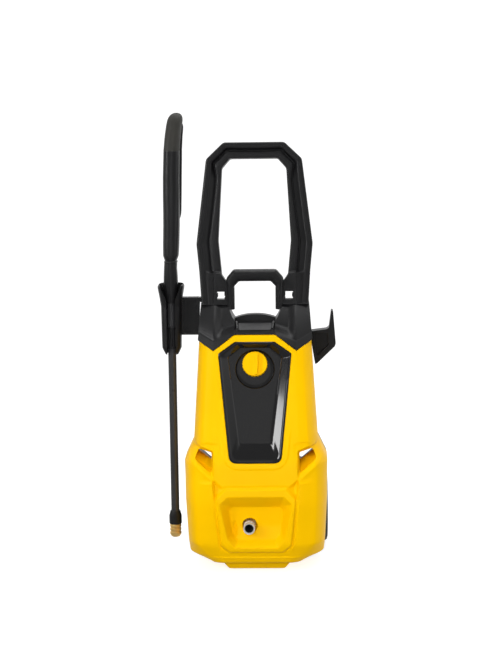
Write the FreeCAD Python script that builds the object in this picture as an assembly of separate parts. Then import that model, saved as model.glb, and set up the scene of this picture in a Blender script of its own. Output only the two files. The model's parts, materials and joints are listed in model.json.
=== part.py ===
"""Upright electric pressure washer, millimetres, +Z up, front towards -Y.

The origin is on the floor under the middle of the front foot, in the plane of symmetry of the casing.
Each function below makes one sub-part, and the list at the end writes every one to its own STEP file.
"""
import FreeCAD, Part
import math
import os

V = FreeCAD.Vector

# ---------------------------------------------------------------- driving dimensions
WALL = 3.0                     # casing wall
FIT = 0.3                      # gap between neighbouring mouldings
TOP_Z = 484.0                  # top edge of the yellow casing at its front
LEAN = math.atan(0.25)         # backward lean of the front panel and of the handle
SPLIT_Y = 52.0                 # parting plane of the front and rear casings
AXIS_Y = 42.0                  # motor and pump axis, vertical, at x = 0
WHEEL_R = 82.0
WHEEL_Y = 185.0
WHEEL_IN, WHEEL_OUT = 106.0, 149.0
AXLE_R = 6.0
HANDLE_TOP_Z = 865.0
GUN_X, GUN_Y = -173.0, 62.0    # axis of the stored lance
KNOB_Z = 427.0
PISTON_COUNT = 3
PISTON_RING_R = 23.0           # pistons stand on this radius about the pump axis
PISTON_R = 7.0
STROKE = 6.5

# The casing's outline at each height: z, half width, side corner y, front half width, front y
CASING = [
    (484.0, 114.0, 30.0, 80.0, -4.0),
    (268.0, 126.0, 2.0, 86.0, -58.0),
    (228.0, 145.0, -12.0, 98.0, -68.0),
    (150.0, 145.0, -16.0, 106.0, -74.0),
    (62.0, 140.5, -14.0, 102.0, -68.0),
    (36.0, 138.0, -8.0, 97.0, -58.0),
    (14.0, 101.0, -2.0, 84.0, -46.0),
]


# ---------------------------------------------------------------- helpers
def box(x0, x1, y0, y1, z0, z1):
    return Part.makeBox(x1 - x0, y1 - y0, z1 - z0, V(x0, y0, z0))


def rod(r, start, end):
    """A cylinder from one point to another."""
    a, b = V(*start), V(*end)
    return Part.makeCylinder(r, (b - a).Length, a, b - a)


def cone(r0, r1, start, end):
    a, b = V(*start), V(*end)
    return Part.makeCone(r0, r1, (b - a).Length, a, b - a)


def ring(r_out, r_in, start, end):
    return rod(r_out, start, end).cut(rod(r_in, start, end))


def fuse(shapes):
    shapes = list(shapes)
    return shapes[0].multiFuse(shapes[1:]).removeSplitter() if len(shapes) > 1 else shapes[0]


def group(shapes):
    """Separate solids kept in one node."""
    return Part.makeCompound([s for shape in shapes for s in shape.Solids])


def rounded_wire(points, radius, place):
    """A closed wire through 2D points with its corners rounded; place turns (a, b) into a 3D point.

    radius is one number, or one for each point; 0 keeps the corner sharp."""
    n = len(points)
    radii = radius if isinstance(radius, (list, tuple)) else [radius] * n
    corners = []
    for i, (x, y) in enumerate(points):
        px, py = points[i - 1]
        qx, qy = points[(i + 1) % n]
        a, b = math.hypot(px - x, py - y), math.hypot(qx - x, qy - y)
        ux, uy, wx, wy = (px - x) / a, (py - y) / a, (qx - x) / b, (qy - y) / b
        half = math.acos(max(-1.0, min(1.0, ux * wx + uy * wy))) / 2
        if radii[i] <= 0 or half > math.pi / 2 - 0.01:
            corners.append([(x, y)])
            continue
        cut = min(radii[i] / math.tan(half), 0.45 * a, 0.45 * b)
        r = cut * math.tan(half)
        mx, my = ux + wx, uy + wy
        m = math.hypot(mx, my)
        reach = r / math.sin(half) - r
        corners.append([
            (x + ux * cut, y + uy * cut),
            (x + mx / m * reach, y + my / m * reach),
            (x + wx * cut, y + wy * cut),
        ])
    edges = []
    for i, here in enumerate(corners):
        if len(here) == 3:
            edges.append(Part.Arc(*[V(*place(*p)) for p in here]).toShape())
        a, b = V(*place(*here[-1])), V(*place(*corners[(i + 1) % n][0]))
        if (b - a).Length > 1e-6:
            edges.append(Part.LineSegment(a, b).toShape())
    return Part.Wire(edges)


def plate_xz(points, y0, y1, radius=0):
    """A plate with its outline in XZ, from y0 to y1."""
    wire = rounded_wire(points, radius, lambda x, z: (x, y0, z))
    return Part.Face(wire).extrude(V(0, y1 - y0, 0))


def plate_xy(points, z0, z1, radius=0):
    wire = rounded_wire(points, radius, lambda x, y: (x, y, z0))
    return Part.Face(wire).extrude(V(0, 0, z1 - z0))


def plate_yz(points, x0, x1, radius=0):
    wire = rounded_wire(points, radius, lambda y, z: (x0, y, z))
    return Part.Face(wire).extrude(V(x1 - x0, 0, 0))


def loft(wires):
    return Part.makeLoft(wires, True, True)


def both_sides(points):
    """An outline given for +X, from top to bottom, closed by its mirror image."""
    return points + [(-x, z) for x, z in reversed(points)]


def mirrored(shape):
    return shape.mirror(V(0, 0, 0), V(1, 0, 0))


def lean_back(shape, y0, z0):
    """Tips an upright shape back about the X axis through (y0, z0) by the casing's lean."""
    out = shape.copy()
    out.rotate(V(0, y0, z0), V(1, 0, 0), -math.degrees(LEAN))
    return out


def along_lean(z, z0):
    """The distance along the leaning plane that reaches height z."""
    return z0 + (z - z0) / math.cos(LEAN)


def front_y(z):
    """Where the leaning front plane is at height z."""
    return -4.0 - (TOP_Z - z) * math.tan(LEAN)


# ---------------------------------------------------------------- casing
def casing_section(z, half, side_y, front_half, front, back, inset=0.0):
    w, f, y = half - inset, front_half - inset * 0.6, front + inset
    pts = [(w, back), (w, side_y + inset * 0.4), (f, y), (-f, y), (-w, side_y + inset * 0.4), (-w, back)]
    return rounded_wire(pts, [0, 16, 14, 14, 16, 0], lambda a, b: (a, b, z))


def casing_solid(inset, back):
    rows = [list(r) for r in CASING]
    rows[0][0] -= inset
    rows[-1][0] += inset
    wires = [casing_section(*r, back, inset) for r in rows]
    return fuse([loft([a, b]) for a, b in zip(wires, wires[1:])])


SHOULDER = [(41.0, 530.0), (41.0, TOP_Z), (84.0, 452.0), (116.0, 470.0), (150.0, 470.0), (150.0, 530.0)]
WINDOW = [(115.0, 256.0), (123.0, 237.0), (89.0, 207.0), (89.0, 249.0)]
WINDOW_SLEEVE = [(118.0, 260.0), (127.0, 237.0), (86.0, 201.0), (86.0, 254.0)]
PANEL_OUT = [(40.0, 470.0), (74.0, 447.0), (55.0, 246.0), (41.0, 229.0)]
PANEL_RADII = [6, 6, 20, 20, 20, 20, 6, 6]
POCKET_TOP = [(57.0, 164.0), (73.0, 149.0), (58.0, 76.0), (44.0, 57.0)]
POCKET_FLOOR = [(50.0, 138.0), (55.0, 132.0), (49.0, 78.0), (38.0, 66.0)]
POCKET_DEPTH = 24.0
OUTLET_X, OUTLET_Z, OUTLET_R = -14.0, 98.0, 11.9


def panel_outline(points, grow):
    """The panel's outline in its own upright plane, grown or shrunk all round."""
    mid = sum(z for _, z in points) / len(points)
    pts = [(x + grow, along_lean(z + (grow if z > mid else -grow), 228.0)) for x, z in points]
    return both_sides(pts)


def panel_block(grow, y0, y1):
    flat = plate_xz(panel_outline(PANEL_OUT, grow), front_y(228.0) + y0, front_y(228.0) + y1, PANEL_RADII)
    return lean_back(flat, front_y(228.0), 228.0)


def window_cut(y0, y1):
    right = plate_xz(WINDOW, y0, y1, 4)
    return fuse([right, mirrored(right)])


def front_shell():
    """The yellow front casing: leaning front, fenders, pocket for the outlet and the foot."""
    outer = casing_solid(0.0, SPLIT_Y)
    foot = loft([
        rounded_wire([(60, -28), (60, 30), (-60, 30), (-60, -28)], 8, lambda a, b: (a, b, 1.0)),
        rounded_wire([(68, -36), (68, 36), (-68, 36), (-68, -36)], 8, lambda a, b: (a, b, 14.0)),
    ])
    outer = fuse([outer, foot])
    inner = casing_solid(WALL, SPLIT_Y + 5)
    well = loft([
        rounded_wire([(58, -26), (58, 28), (-58, 28), (-58, -26)], 6, lambda a, b: (a, b, 6.0)),
        rounded_wire([(65, -33), (65, 33), (-65, 33), (-65, -33)], 6, lambda a, b: (a, b, 17.5)),
    ])
    rim_y, floor_y = -90.0, -74.0 + POCKET_DEPTH
    pocket = loft([
        rounded_wire(both_sides(POCKET_TOP), 8, lambda a, b: (a, -75.0, b)),
        rounded_wire(both_sides(POCKET_FLOOR), 8, lambda a, b: (a, floor_y, b)),
    ])
    pocket = fuse([pocket, plate_xz(both_sides(POCKET_TOP), rim_y, -75.0, 8)])
    wall = loft([
        rounded_wire(both_sides([(x + WALL, z + (WALL if z > 110 else -WALL)) for x, z in POCKET_TOP]), 8,
                     lambda a, b: (a, -75.0, b)),
        rounded_wire(both_sides([(x + WALL, z + (WALL if z > 110 else -WALL)) for x, z in POCKET_FLOOR]), 8,
                     lambda a, b: (a, floor_y + WALL, b)),
    ])
    pad_seat = plate_xy([(54.3, -23.3), (54.3, 25.3), (-54.3, 25.3), (-54.3, -23.3)], 0.0, 2.7, 5)
    shell = outer.cut(inner).cut(well).cut(pad_seat)
    shell = fuse([shell, wall.common(outer)])
    sleeve = plate_xz(WINDOW_SLEEVE, -90.0, SPLIT_Y, 4)
    shell = fuse([shell, sleeve.common(outer), mirrored(sleeve).common(outer)])
    shell = shell.cut(pocket).cut(window_cut(-95.0, SPLIT_Y + 1))
    shell = shell.cut(rod(14.0, (OUTLET_X, -60, OUTLET_Z), (OUTLET_X, 0, OUTLET_Z)))
    shell = shell.cut(panel_block(FIT, -6.0, 30.0))
    notch = plate_xz(SHOULDER, -30.0, SPLIT_Y + 1)
    shell = shell.cut(notch).cut(mirrored(notch))
    shell = shell.cut(box(-41.5, 41.5, 14.0, SPLIT_Y + 1, TOP_Z - WALL - 0.5, TOP_Z + 1))
    return shell


# ---------------------------------------------------------------- panel, knob and switch
PANEL_Y, PANEL_Z = front_y(228.0), 228.0      # the point that panel pieces are tipped back about
PANEL_PROUD, PANEL_FACE, DISH_FLOOR, PANEL_BACK = -1.5, 6.5, 11.0, 15.0
KNOB_R, DISH_R = 26.0, 39.0
KNOB_UP = along_lean(KNOB_Z, PANEL_Z)


def on_panel(shape):
    """Moves a piece from the upright panel frame, where y is depth, to the leaning front."""
    shape.translate(V(0, PANEL_Y, 0))
    return lean_back(shape, PANEL_Y, PANEL_Z)


def control_panel():
    """The tapered panel: a rim, four sloping walls, a sunken face and a dish off centre round the knob."""
    body = plate_xz(panel_outline(PANEL_OUT, 0), PANEL_PROUD, PANEL_BACK, PANEL_RADII)
    rim, slope = -6.0, -9.0
    sink = loft([
        rounded_wire(panel_outline(PANEL_OUT, rim), PANEL_RADII, lambda a, b: (a, PANEL_PROUD, b)),
        rounded_wire(panel_outline(PANEL_OUT, rim + slope), PANEL_RADII, lambda a, b: (a, PANEL_FACE, b)),
    ])
    dish_z, knob_z = along_lean(KNOB_Z - 10.0, PANEL_Z), KNOB_UP
    dish = cone(DISH_R, DISH_R - 1.5, (0, PANEL_FACE - 0.5, dish_z), (0, DISH_FLOOR, dish_z))
    body = body.cut(sink).cut(dish)
    back = plate_xz(panel_outline(PANEL_OUT, -WALL), DISH_FLOOR + 2.5, PANEL_BACK + 1, PANEL_RADII)
    body = body.cut(back.cut(rod(DISH_R, (0, 0, dish_z), (0, 30, dish_z))))
    return on_panel(body.cut(rod(4.4, (0, 0, knob_z), (0, 30, knob_z))))


def power_knob():
    """A ribbed disc with an upright finger grip and a pointer groove."""
    z = KNOB_UP
    disc = cone(KNOB_R, KNOB_R - 1.5, (0, DISH_FLOOR - 0.5, z), (0, 1.0, z))
    grip = plate_xz([(-5, z - 22), (5, z - 22), (6.5, z + 22), (-6.5, z + 22)], -8.0, 1.5, 3)
    knob = fuse([disc, grip])
    for i in range(24):
        a = math.radians(15 * i + 7.5)
        x, dz = (KNOB_R + 0.4) * math.sin(a), (KNOB_R + 0.4) * math.cos(a)
        knob = knob.cut(rod(1.4, (x, 3.0, z + dz), (x, 20.0, z + dz)))
    knob = knob.cut(box(-0.8, 0.8, -9, -7.2, z + 4, z + 20))
    return on_panel(knob.cut(rod(3.0, (0, 4.0, z), (0, 20.0, z))))


def switch_shaft():
    z = KNOB_UP
    shaft = rod(3.0, (0, 4.0, z), (0, 34.0, z))
    return on_panel(shaft.cut(box(-3, 3, 4.0, 10.0, z + 2.0, z + 4.0)))


def rotary_switch():
    """The switch body behind the panel, with its terminals at the bottom."""
    z = KNOB_UP
    body = plate_xz([(-18, z - 20), (18, z - 20), (18, z + 20), (-18, z + 20)], PANEL_BACK + FIT, 40.0, 3)
    tags = [box(x - 3, x + 3, 24, 25, z - 30, z - 19.5) for x in (-12, 0, 12)]
    bore = rod(3.3, (0, 10, z), (0, 36, z))
    return on_panel(fuse([body] + tags).cut(bore))


# ---------------------------------------------------------------- rear casing and its pieces
REAR_Y, HUMP_Y = 76.0, 130.0
REAR_TOP_Z = 470.0
CABLE_GLAND = (-46.0, 150.0)
WATER_X, WATER_Z = 35.0, 112.0
CARRIER_SCREWS = [(x, z) for x in (-62.0, 62.0) for z in (60.0, 106.0)]


def side_outline(inset):
    rows = [(half, z) for z, half, _, _, _ in CASING]
    rows[0] = (rows[0][0], REAR_TOP_Z - inset)
    rows[-1] = (rows[-1][0], rows[-1][1] + inset)
    return both_sides([(half - inset, z) for half, z in rows])


def hump(inset):
    near = [(88.0 - inset, 470.0 - inset), (88.0 - inset, 26.0 + inset)]
    far = [(74.0 - inset, 440.0 - inset), (80.0 - inset, 40.0 + inset)]
    return loft([
        rounded_wire(both_sides(near), 22, lambda a, b: (a, REAR_Y - 6.0, b)),
        rounded_wire(both_sides(far), 22, lambda a, b: (a, HUMP_Y - inset, b)),
    ])


def rear_shell():
    """The black rear casing: side wings round the windows and a vented hump over the motor."""
    outer = plate_xz(side_outline(0), SPLIT_Y + FIT, REAR_Y, 8)
    inner = plate_xz(side_outline(WALL), SPLIT_Y - 1, REAR_Y - WALL, 6)
    shell = fuse([outer, hump(0)]).cut(inner).cut(hump(WALL))
    sleeve = plate_xz(WINDOW_SLEEVE, SPLIT_Y + FIT, REAR_Y, 4)
    shell = fuse([shell, sleeve.common(outer), mirrored(sleeve).common(outer)]).cut(window_cut(40, 90))
    for row in range(9):
        z = 250.0 + 18.0 * row
        shell = shell.cut(box(-48, 48, REAR_Y + 20, HUMP_Y + 5, z, z + 7))
    gx, gz = CABLE_GLAND
    shell = shell.cut(rod(9.2, (gx, 100, gz), (gx, 140, gz)))
    shell = shell.cut(rod(15.0, (WATER_X, 100, WATER_Z), (WATER_X, 140, WATER_Z)))
    for x, z in CARRIER_SCREWS:
        shell = shell.cut(rod(2.3, (x, 110, z), (x, 140, z)))
    return shell


def shell_screw_places():
    one_side = [(104.0, 440.0), (108.0, 300.0), (126.0, 120.0), (122.0, 52.0)]
    return [(s * x, z) for s in (-1, 1) for x, z in one_side]


def shell_screws():
    """Eight self-tapping screws that hold the casings together, driven from the rear."""
    made = []
    for x, z in shell_screw_places():
        slot = box(x - 3, x + 3, REAR_Y + 1.4, REAR_Y + 3, z - 0.5, z + 0.5)
        cross = box(x - 0.5, x + 0.5, REAR_Y + 1.4, REAR_Y + 3, z - 3, z + 3)
        made.append(rod(4.0, (x, REAR_Y, z), (x, REAR_Y + 2.4, z)).cut(slot).cut(cross))
    return group(made)


def cable_gland():
    """The bush that the supply cord passes through, with its grip nut outside."""
    x, z = CABLE_GLAND
    sleeve = rod(9.0, (x, HUMP_Y - 20, z), (x, HUMP_Y + 6, z))
    body = fuse([sleeve, rod(13.0, (x, HUMP_Y + FIT, z), (x, HUMP_Y + 14, z))])
    for i in range(12):
        a = math.radians(30 * i)
        gx, gz = x + 13.4 * math.cos(a), z + 13.4 * math.sin(a)
        body = body.cut(rod(1.2, (gx, HUMP_Y + 2, gz), (gx, HUMP_Y + 20, gz)))
    return body.cut(rod(4.2, (x, 90, z), (x, 160, z)))


def wheel_carrier():
    """The cross member behind the pump, with two arms that hold the axle."""
    bar = plate_xz([(-98, 50), (98, 50), (98, 116), (-98, 116)], HUMP_Y + FIT, HUMP_Y + 9, 6)
    bar = bar.cut(rod(17.0, (WATER_X, 120, WATER_Z), (WATER_X, 150, WATER_Z)))
    side = [(HUMP_Y + FIT, 116), (HUMP_Y + FIT, 50), (WHEEL_Y, WHEEL_R - 20), (WHEEL_Y, WHEEL_R + 20)]
    arms = []
    for x in (-98.0, 80.0):
        arm = plate_yz(side, x, x + 18.0)
        end = rod(20.0, (x, WHEEL_Y, WHEEL_R), (x + 18.0, WHEEL_Y, WHEEL_R))
        inside_x = x + 11.0 if x < 0 else x - 1.0
        near, far = HUMP_Y + 14, WHEEL_Y - 20
        recess = plate_yz([(near, 104), (near, 62), (far, 70), (far, 95)], inside_x, inside_x + 8.0, 4)
        arms.append(fuse([arm, end]).cut(recess))
    body = fuse([bar] + arms).cut(rod(AXLE_R + 0.05, (-120, WHEEL_Y, WHEEL_R), (120, WHEEL_Y, WHEEL_R)))
    for x, z in CARRIER_SCREWS:
        body = body.cut(rod(2.6, (x, 120, z), (x, 150, z)))
    return body


def carrier_screws():
    made = []
    for x, z in CARRIER_SCREWS:
        head = rod(5.0, (x, HUMP_Y + 9, z), (x, HUMP_Y + 12, z))
        shank = rod(2.2, (x, HUMP_Y - 12, z), (x, HUMP_Y + 9, z))
        slot = box(x - 3.5, x + 3.5, HUMP_Y + 10.8, HUMP_Y + 13, z - 0.6, z + 0.6)
        made.append(fuse([head, shank]).cut(slot))
    return group(made)


# ---------------------------------------------------------------- wheels
HUB_RIM_R = 62.0
SPOKES = 6


def axle():
    return rod(AXLE_R, (-139, WHEEL_Y, WHEEL_R), (139, WHEEL_Y, WHEEL_R))


def axle_retainers():
    right = ring(11.0, AXLE_R, (134.4, WHEEL_Y, WHEEL_R), (136.4, WHEEL_Y, WHEEL_R))
    return group([right, mirrored(right)])


def turned(points, x_side=1):
    """A solid of revolution about the axle, from (radius, x) points on the right-hand wheel."""
    wire = rounded_wire(points, 0, lambda r, x: (x, WHEEL_Y, WHEEL_R + r))
    solid = Part.Face(wire).revolve(V(0, WHEEL_Y, WHEEL_R), V(1, 0, 0), 360)
    return solid if x_side > 0 else mirrored(solid)


def tyre(side):
    """A solid tyre with a crowned tread and two grooves."""
    mid, lip = (WHEEL_IN + WHEEL_OUT) / 2, HUB_RIM_R
    profile = [
        (lip, WHEEL_IN + 3), (70, WHEEL_IN), (78, WHEEL_IN + 2), (81.2, WHEEL_IN + 7), (WHEEL_R, mid - 9),
        (79.5, mid - 8), (79.5, mid - 5), (WHEEL_R, mid - 4), (WHEEL_R, mid + 4), (79.5, mid + 5),
        (79.5, mid + 8), (WHEEL_R, mid + 9), (81.2, WHEEL_OUT - 7), (78, WHEEL_OUT - 2), (70, WHEEL_OUT),
        (lip, WHEEL_OUT - 3),
    ]
    return turned(profile, side)


def hub(side):
    """A moulded hub: rim, six spokes and a barrel that runs on the axle."""
    near, far = WHEEL_IN + 4, WHEEL_OUT - 4
    rim = turned([(56, near), (HUB_RIM_R, near), (HUB_RIM_R, far), (56, far)])
    barrel = turned([(AXLE_R + 0.05, 100), (14, 100), (14, 134), (AXLE_R + 0.05, 134)])
    cup = turned([(13, 120), (22, 120), (22, 139), (18, 139), (18, 132), (13, 132)])
    disc = turned([(13.5, 120), (58, 120), (58, 124), (13.5, 124)])
    body = fuse([rim, barrel, cup, disc])
    hole = plate_yz([(-9, 30), (9, 30), (17, 51), (-17, 51)], 110, 130, 5)
    for i in range(SPOKES):
        cut = hole.translated(V(0, WHEEL_Y, WHEEL_R))
        cut.rotate(V(0, WHEEL_Y, WHEEL_R), V(1, 0, 0), 360.0 / SPOKES * i)
        body = body.cut(cut)
    return body if side > 0 else mirrored(body)


def hub_cap(side):
    """A shallow cap that hides the end of the axle."""
    outside = [(0, 143.0), (10, 142.6), (17.5, 140.4), (17.5, 137.0)]
    inside = [(15.5, 137.0), (15.5, 139.4), (9, 140.9), (0, 140.9)]
    cap = turned(outside + inside)
    return cap if side > 0 else mirrored(cap)


# ---------------------------------------------------------------- handle, grip and top cap
HANDLE_LEAN = math.atan(0.13)
HANDLE_Y, HANDLE_Z = 50.0, 540.0              # the front of the handle leans back about this line
HANDLE_DEPTH = 37.0
RIB_WIDTH, CHANNEL_END_Z = 14.0, 606.0
HANDLE_OUT = [(60.0, HANDLE_TOP_Z), (97.5, 832.0), (119.5, 662.0), (110.0, 541.0)]
HANDLE_IN = [(49.0, 834.0), (66.0, 815.0), (74.5, 669.0), (67.5, 598.0), (84.5, 592.0), (84.5, 541.0)]


def handle_lean(shape):
    out = shape.copy()
    out.rotate(V(0, HANDLE_Y, HANDLE_Z), V(1, 0, 0), -math.degrees(HANDLE_LEAN))
    return out


def handle_band(grow, y0, y1, grow_in=None):
    """The handle's U as a band between its outer and inner outlines, from one depth to another."""
    scale = 1.0 / math.cos(HANDLE_LEAN)
    near = grow if grow_in is None else grow_in
    rise = lambda pts: [(x, HANDLE_Z + (z - HANDLE_Z) * scale) for x, z in pts]
    out_pts = rise([(x + grow, z + (grow if z > 550 else 0)) for x, z in HANDLE_OUT])
    in_pts = rise([(x - near, z - (near if z > 550 else 5)) for x, z in HANDLE_IN])
    outer = plate_xz(both_sides(out_pts), HANDLE_Y + y0, HANDLE_Y + y1, [14, 26, 60, 0, 0, 60, 26, 14])
    in_radii = [8, 14, 40, 4, 3, 0, 0, 3, 4, 40, 14, 8]
    inner = plate_xz(both_sides(in_pts), HANDLE_Y + y0 - 1, HANDLE_Y + y1 + 1, in_radii)
    return outer.cut(inner)


def handle_front():
    """The front half of the tubular handle, with a deep channel between its outer rib and its inner edge."""
    body = fuse([handle_band(-2.0, 0, 4), handle_band(0.0, 2, 18)])
    above = box(-150, 150, 0, 150, CHANNEL_END_Z, HANDLE_TOP_Z + 50)
    wide = handle_band(-RIB_WIDTH, -2, 4, -5.0).common(above)
    deep = handle_band(-RIB_WIDTH - 3.0, 3, 9, -8.0).common(above)
    return handle_lean(body.cut(wide).cut(deep))


def handle_back():
    body = fuse([handle_band(0.0, 18, 31), handle_band(-4.0, 30, HANDLE_DEPTH)])
    for x, z in handle_screw_places():
        body = body.cut(rod(4.2, (x, HANDLE_Y + 32, z), (x, HANDLE_Y + HANDLE_DEPTH + 2, z)))
    return handle_lean(body)


def handle_screw_places():
    one_side = [(30.0, 852.0), (90.0, 780.0), (97.0, 670.0), (98.0, 570.0)]
    return [(s * x, z) for s in (-1, 1) for x, z in one_side]


def handle_screws():
    made = []
    for x, z in handle_screw_places():
        head = rod(3.6, (x, HANDLE_Y + 32, z), (x, HANDLE_Y + 34.2, z))
        slot = box(x - 2.6, x + 2.6, HANDLE_Y + 33.4, HANDLE_Y + 35, z - 0.5, z + 0.5)
        made.append(handle_lean(head.cut(slot)))
    return group(made)


SHOULDER_FACE = [(-8.0, 448.0), (2.0, 488.0), (14.0, 505.0), (32.0, 519.0), (47.0, 540.8), (90.0, 535.3),
                 (94.0, 500.0), (94.0, 470.3), (8.0, 470.3), (8.0, 448.0)]


def shoulder(side):
    """A scooped shoulder that laps over the casing with a pointed tip and carries one leg of the handle."""
    front = [(41.3, 541.0), (41.3, 485.0), (84.0, 453.0), (117.0, 471.0), (110.5, 541.0)]
    block = plate_xz(front, -20.0, 100.0, [0, 0, 5, 8, 0]).common(plate_yz(SHOULDER_FACE, 30.0, 125.0))
    scoop = cone(8.0, 34.0, (41.0, 120.0, 560.0), (62.0, -22.0, 496.0))
    inner = plate_xz([(45.0, 531.0), (45.0, 474.0), (112.0, 474.0), (106.0, 531.0)], 52.0, 90.0, 3)
    block = block.cut(box(30, 57.0, 48.0, 110, 500, 560))
    body = block.cut(scoop).cut(inner)
    body = max(body.Solids, key=lambda s: s.Volume)
    return body if side > 0 else mirrored(body)


GRIP_Y0, GRIP_Y1 = 46.0, 74.0


def carry_grip():
    """The low carrying grip, an arch between two square-windowed plates."""
    outer = [(44.0, 609.0), (59.0, 592.0), (63.0, 587.5), (84.0, 592.0), (84.0, 541.3), (56.5, 541.3),
             (56.5, 528.0)]
    inner = [(32.0, 586.0), (42.0, 575.0), (42.0, 520.0)]
    arch = plate_xz(both_sides(outer), GRIP_Y0, GRIP_Y1, [8, 6, 0, 4, 0, 0, 0, 0, 0, 0, 4, 0, 6, 8])
    arch = arch.cut(plate_xz(both_sides(inner), 20, 100, [6, 6, 0, 0, 6, 6]))
    band = handle_lean(handle_band(FIT / 2, -1, HANDLE_DEPTH + 1))
    body = arch.cut(band)
    for s in (-1, 1):
        x0, x1 = sorted((s * 62.6, s * 77.8))
        body = body.cut(box(x0, x1, 20, 110, 548.6, 564.7))
    return body


def top_cap():
    """The cap behind the panel, with a small sloping tray and an arched back rim."""
    half = 41.0
    side = [(-3.0, 481.0), (-3.5, 490.0), (4.0, 495.5), (24.0, 500.0), (47.7, 506.0), (47.7, 481.0)]
    front = plate_yz(side, -half, half)
    arch = [(0.0, 516.0), (46.0, 512.0), (56.5, 503.0), (56.5, 500.3), (half, 500.3), (half, 470.3)]
    rear = plate_xz(arch + [(-x, z) for x, z in reversed(arch[1:])], 48.3, 92.0,
                    [0, 10, 3, 0, 0, 0, 0, 0, 0, 3, 10])
    body = fuse([front, rear, box(-half, half, 47.0, 49.0, 481.0, 500.0)])
    tray = loft([
        rounded_wire([(-33, 11), (33, 11), (36, 60), (-36, 60)], 6, lambda a, b: (a, b, 520.0)),
        rounded_wire([(-30, 14), (30, 14), (33, 57), (-33, 57)], 6, lambda a, b: (a, b, 489.0)),
    ])
    hollow = box(-half + 3, half - 3, 16, 88, 460, 486.5)
    seat = box(-half - 1, half + 1, -10, 14.3, 470, TOP_Z + 0.2)
    return body.cut(tray).cut(hollow).cut(seat)


# ---------------------------------------------------------------- spray gun and lance, stored upright
GRIP_SPLIT_Z = 853.0
TRIGGER_PIVOT = (96.0, 722.0)
LOCK_PIVOT = (97.5, 800.0)
VALVE_Z = 742.0
INLET_R = 7.0
INLET_START, INLET_END = (GUN_X, 63.5, 828.0), (GUN_X, 82.5, 927.0)
LANCE_R, LANCE_BORE = 8.6, 5.0
LANCE_BOTTOM_Z, NOZZLE_BOTTOM_Z = 74.0, 45.0
SPIGOT_R, SPIGOT_Z = 6.0, 60.8

# Side outlines, y against z
GUN_BODY = [(53.0, 541.0), (44.0, 604.0), (42.0, 640.0), (39.0, 700.0), (40.0, 770.0),
            (46.0, GRIP_SPLIT_Z), (84.0, GRIP_SPLIT_Z), (77.0, 790.0), (80.0, 745.0), (100.0, 708.0),
            (92.0, 660.0), (82.0, 600.0), (71.0, 541.0)]
GUN_GUARD_OUT = [(92.0, 690.0), (118.0, 706.0), (136.0, 760.0), (142.0, 840.0), (130.0, 900.0),
                 (100.0, 922.0), (84.0, 906.0)]
GUN_GUARD_IN = [(96.0, 716.0), (112.0, 724.0), (127.0, 764.0), (132.5, 838.0), (122.0, 888.0),
                (98.0, 896.0), (88.0, 880.0)]
GRIP_TOP = [(45.3, GRIP_SPLIT_Z), (52.0, 890.0), (64.0, 926.0), (90.0, 929.0), (99.0, 912.0),
            (85.0, GRIP_SPLIT_Z)]


def gun_width_cutter():
    """The gun's front view as a tall plate: wide at the grip, tapering in a V to the neck."""
    half = [(11.0, 929.0), (15.5, 915.0), (17.0, 850.0), (17.6, 758.0), (16.8, 690.0), (14.4, 634.0),
            (14.0, 596.0), (9.2, 556.0), (9.0, 541.0)]
    pts = [(GUN_X + x, z) for x, z in half] + [(GUN_X - x, z) for x, z in reversed(half)]
    return plate_xz(pts, 20.0, 160.0, [6, 8, 0, 40, 40, 6, 10, 5, 0, 0, 5, 10, 6, 40, 40, 0, 8, 6])


def trigger_slot():
    return box(GUN_X - 6.4, GUN_X + 6.4, 73.0, 126.0, 708.0, 884.0)


def gun_shape():
    body = plate_yz(GUN_BODY, GUN_X - 20, GUN_X + 20, [0, 30, 30, 60, 60, 0, 0, 40, 25, 12, 30, 40, 0])
    body = body.common(gun_width_cutter())
    guard = plate_yz(GUN_GUARD_OUT, GUN_X - 8.5, GUN_X + 8.5, [6, 20, 30, 30, 20, 16, 4])
    guard = guard.cut(plate_yz(GUN_GUARD_IN, GUN_X - 30, GUN_X + 30, [4, 12, 20, 20, 12, 10, 4]))
    keep = box(GUN_X - 30, GUN_X + 30, 0, 200, 500, GRIP_SPLIT_Z)
    loop_end = plate_yz([(92, 868), (125, 853), (150, 853), (150, 940), (92, 940)], GUN_X - 30, GUN_X + 30)
    guard = fuse([guard.common(keep), guard.common(loop_end.cut(keep))])
    return fuse([body, guard])


def gun_half(side):
    """One half of the gun's casing, hollow, with the valve and the trigger slot inside."""
    whole = gun_shape()
    inside = [(54, 601), (52, 650), (50, 760), (55, GRIP_SPLIT_Z + 1), (78, GRIP_SPLIT_Z + 1), (71.8, 790),
              (71.8, 745), (71.8, 706), (72, 660), (70, 601)]
    whole = whole.cut(plate_yz(inside, GUN_X - 11.5, GUN_X + 11.5)).cut(trigger_slot())
    whole = whole.cut(rod(2.6, (GUN_X, 70.0, VALVE_Z), (GUN_X, 80.0, VALVE_Z)))
    for x, y, z in gun_screw_places():
        whole = whole.cut(rod(3.3, (x - 0.8, y, z), (x + 20.0, y, z)))
    whole = whole.cut(rod(LANCE_R + 0.1, (GUN_X, GUN_Y, 530.0), (GUN_X, GUN_Y, 601.0)))
    py, pz = TRIGGER_PIVOT
    whole = whole.cut(rod(2.5, (GUN_X - 14, py, pz), (GUN_X + 14, py, pz)))
    x0, x1 = sorted((GUN_X, GUN_X + 30.0 * side))
    return whole.common(box(x0, x1, 0, 200, 400, 1000))


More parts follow.
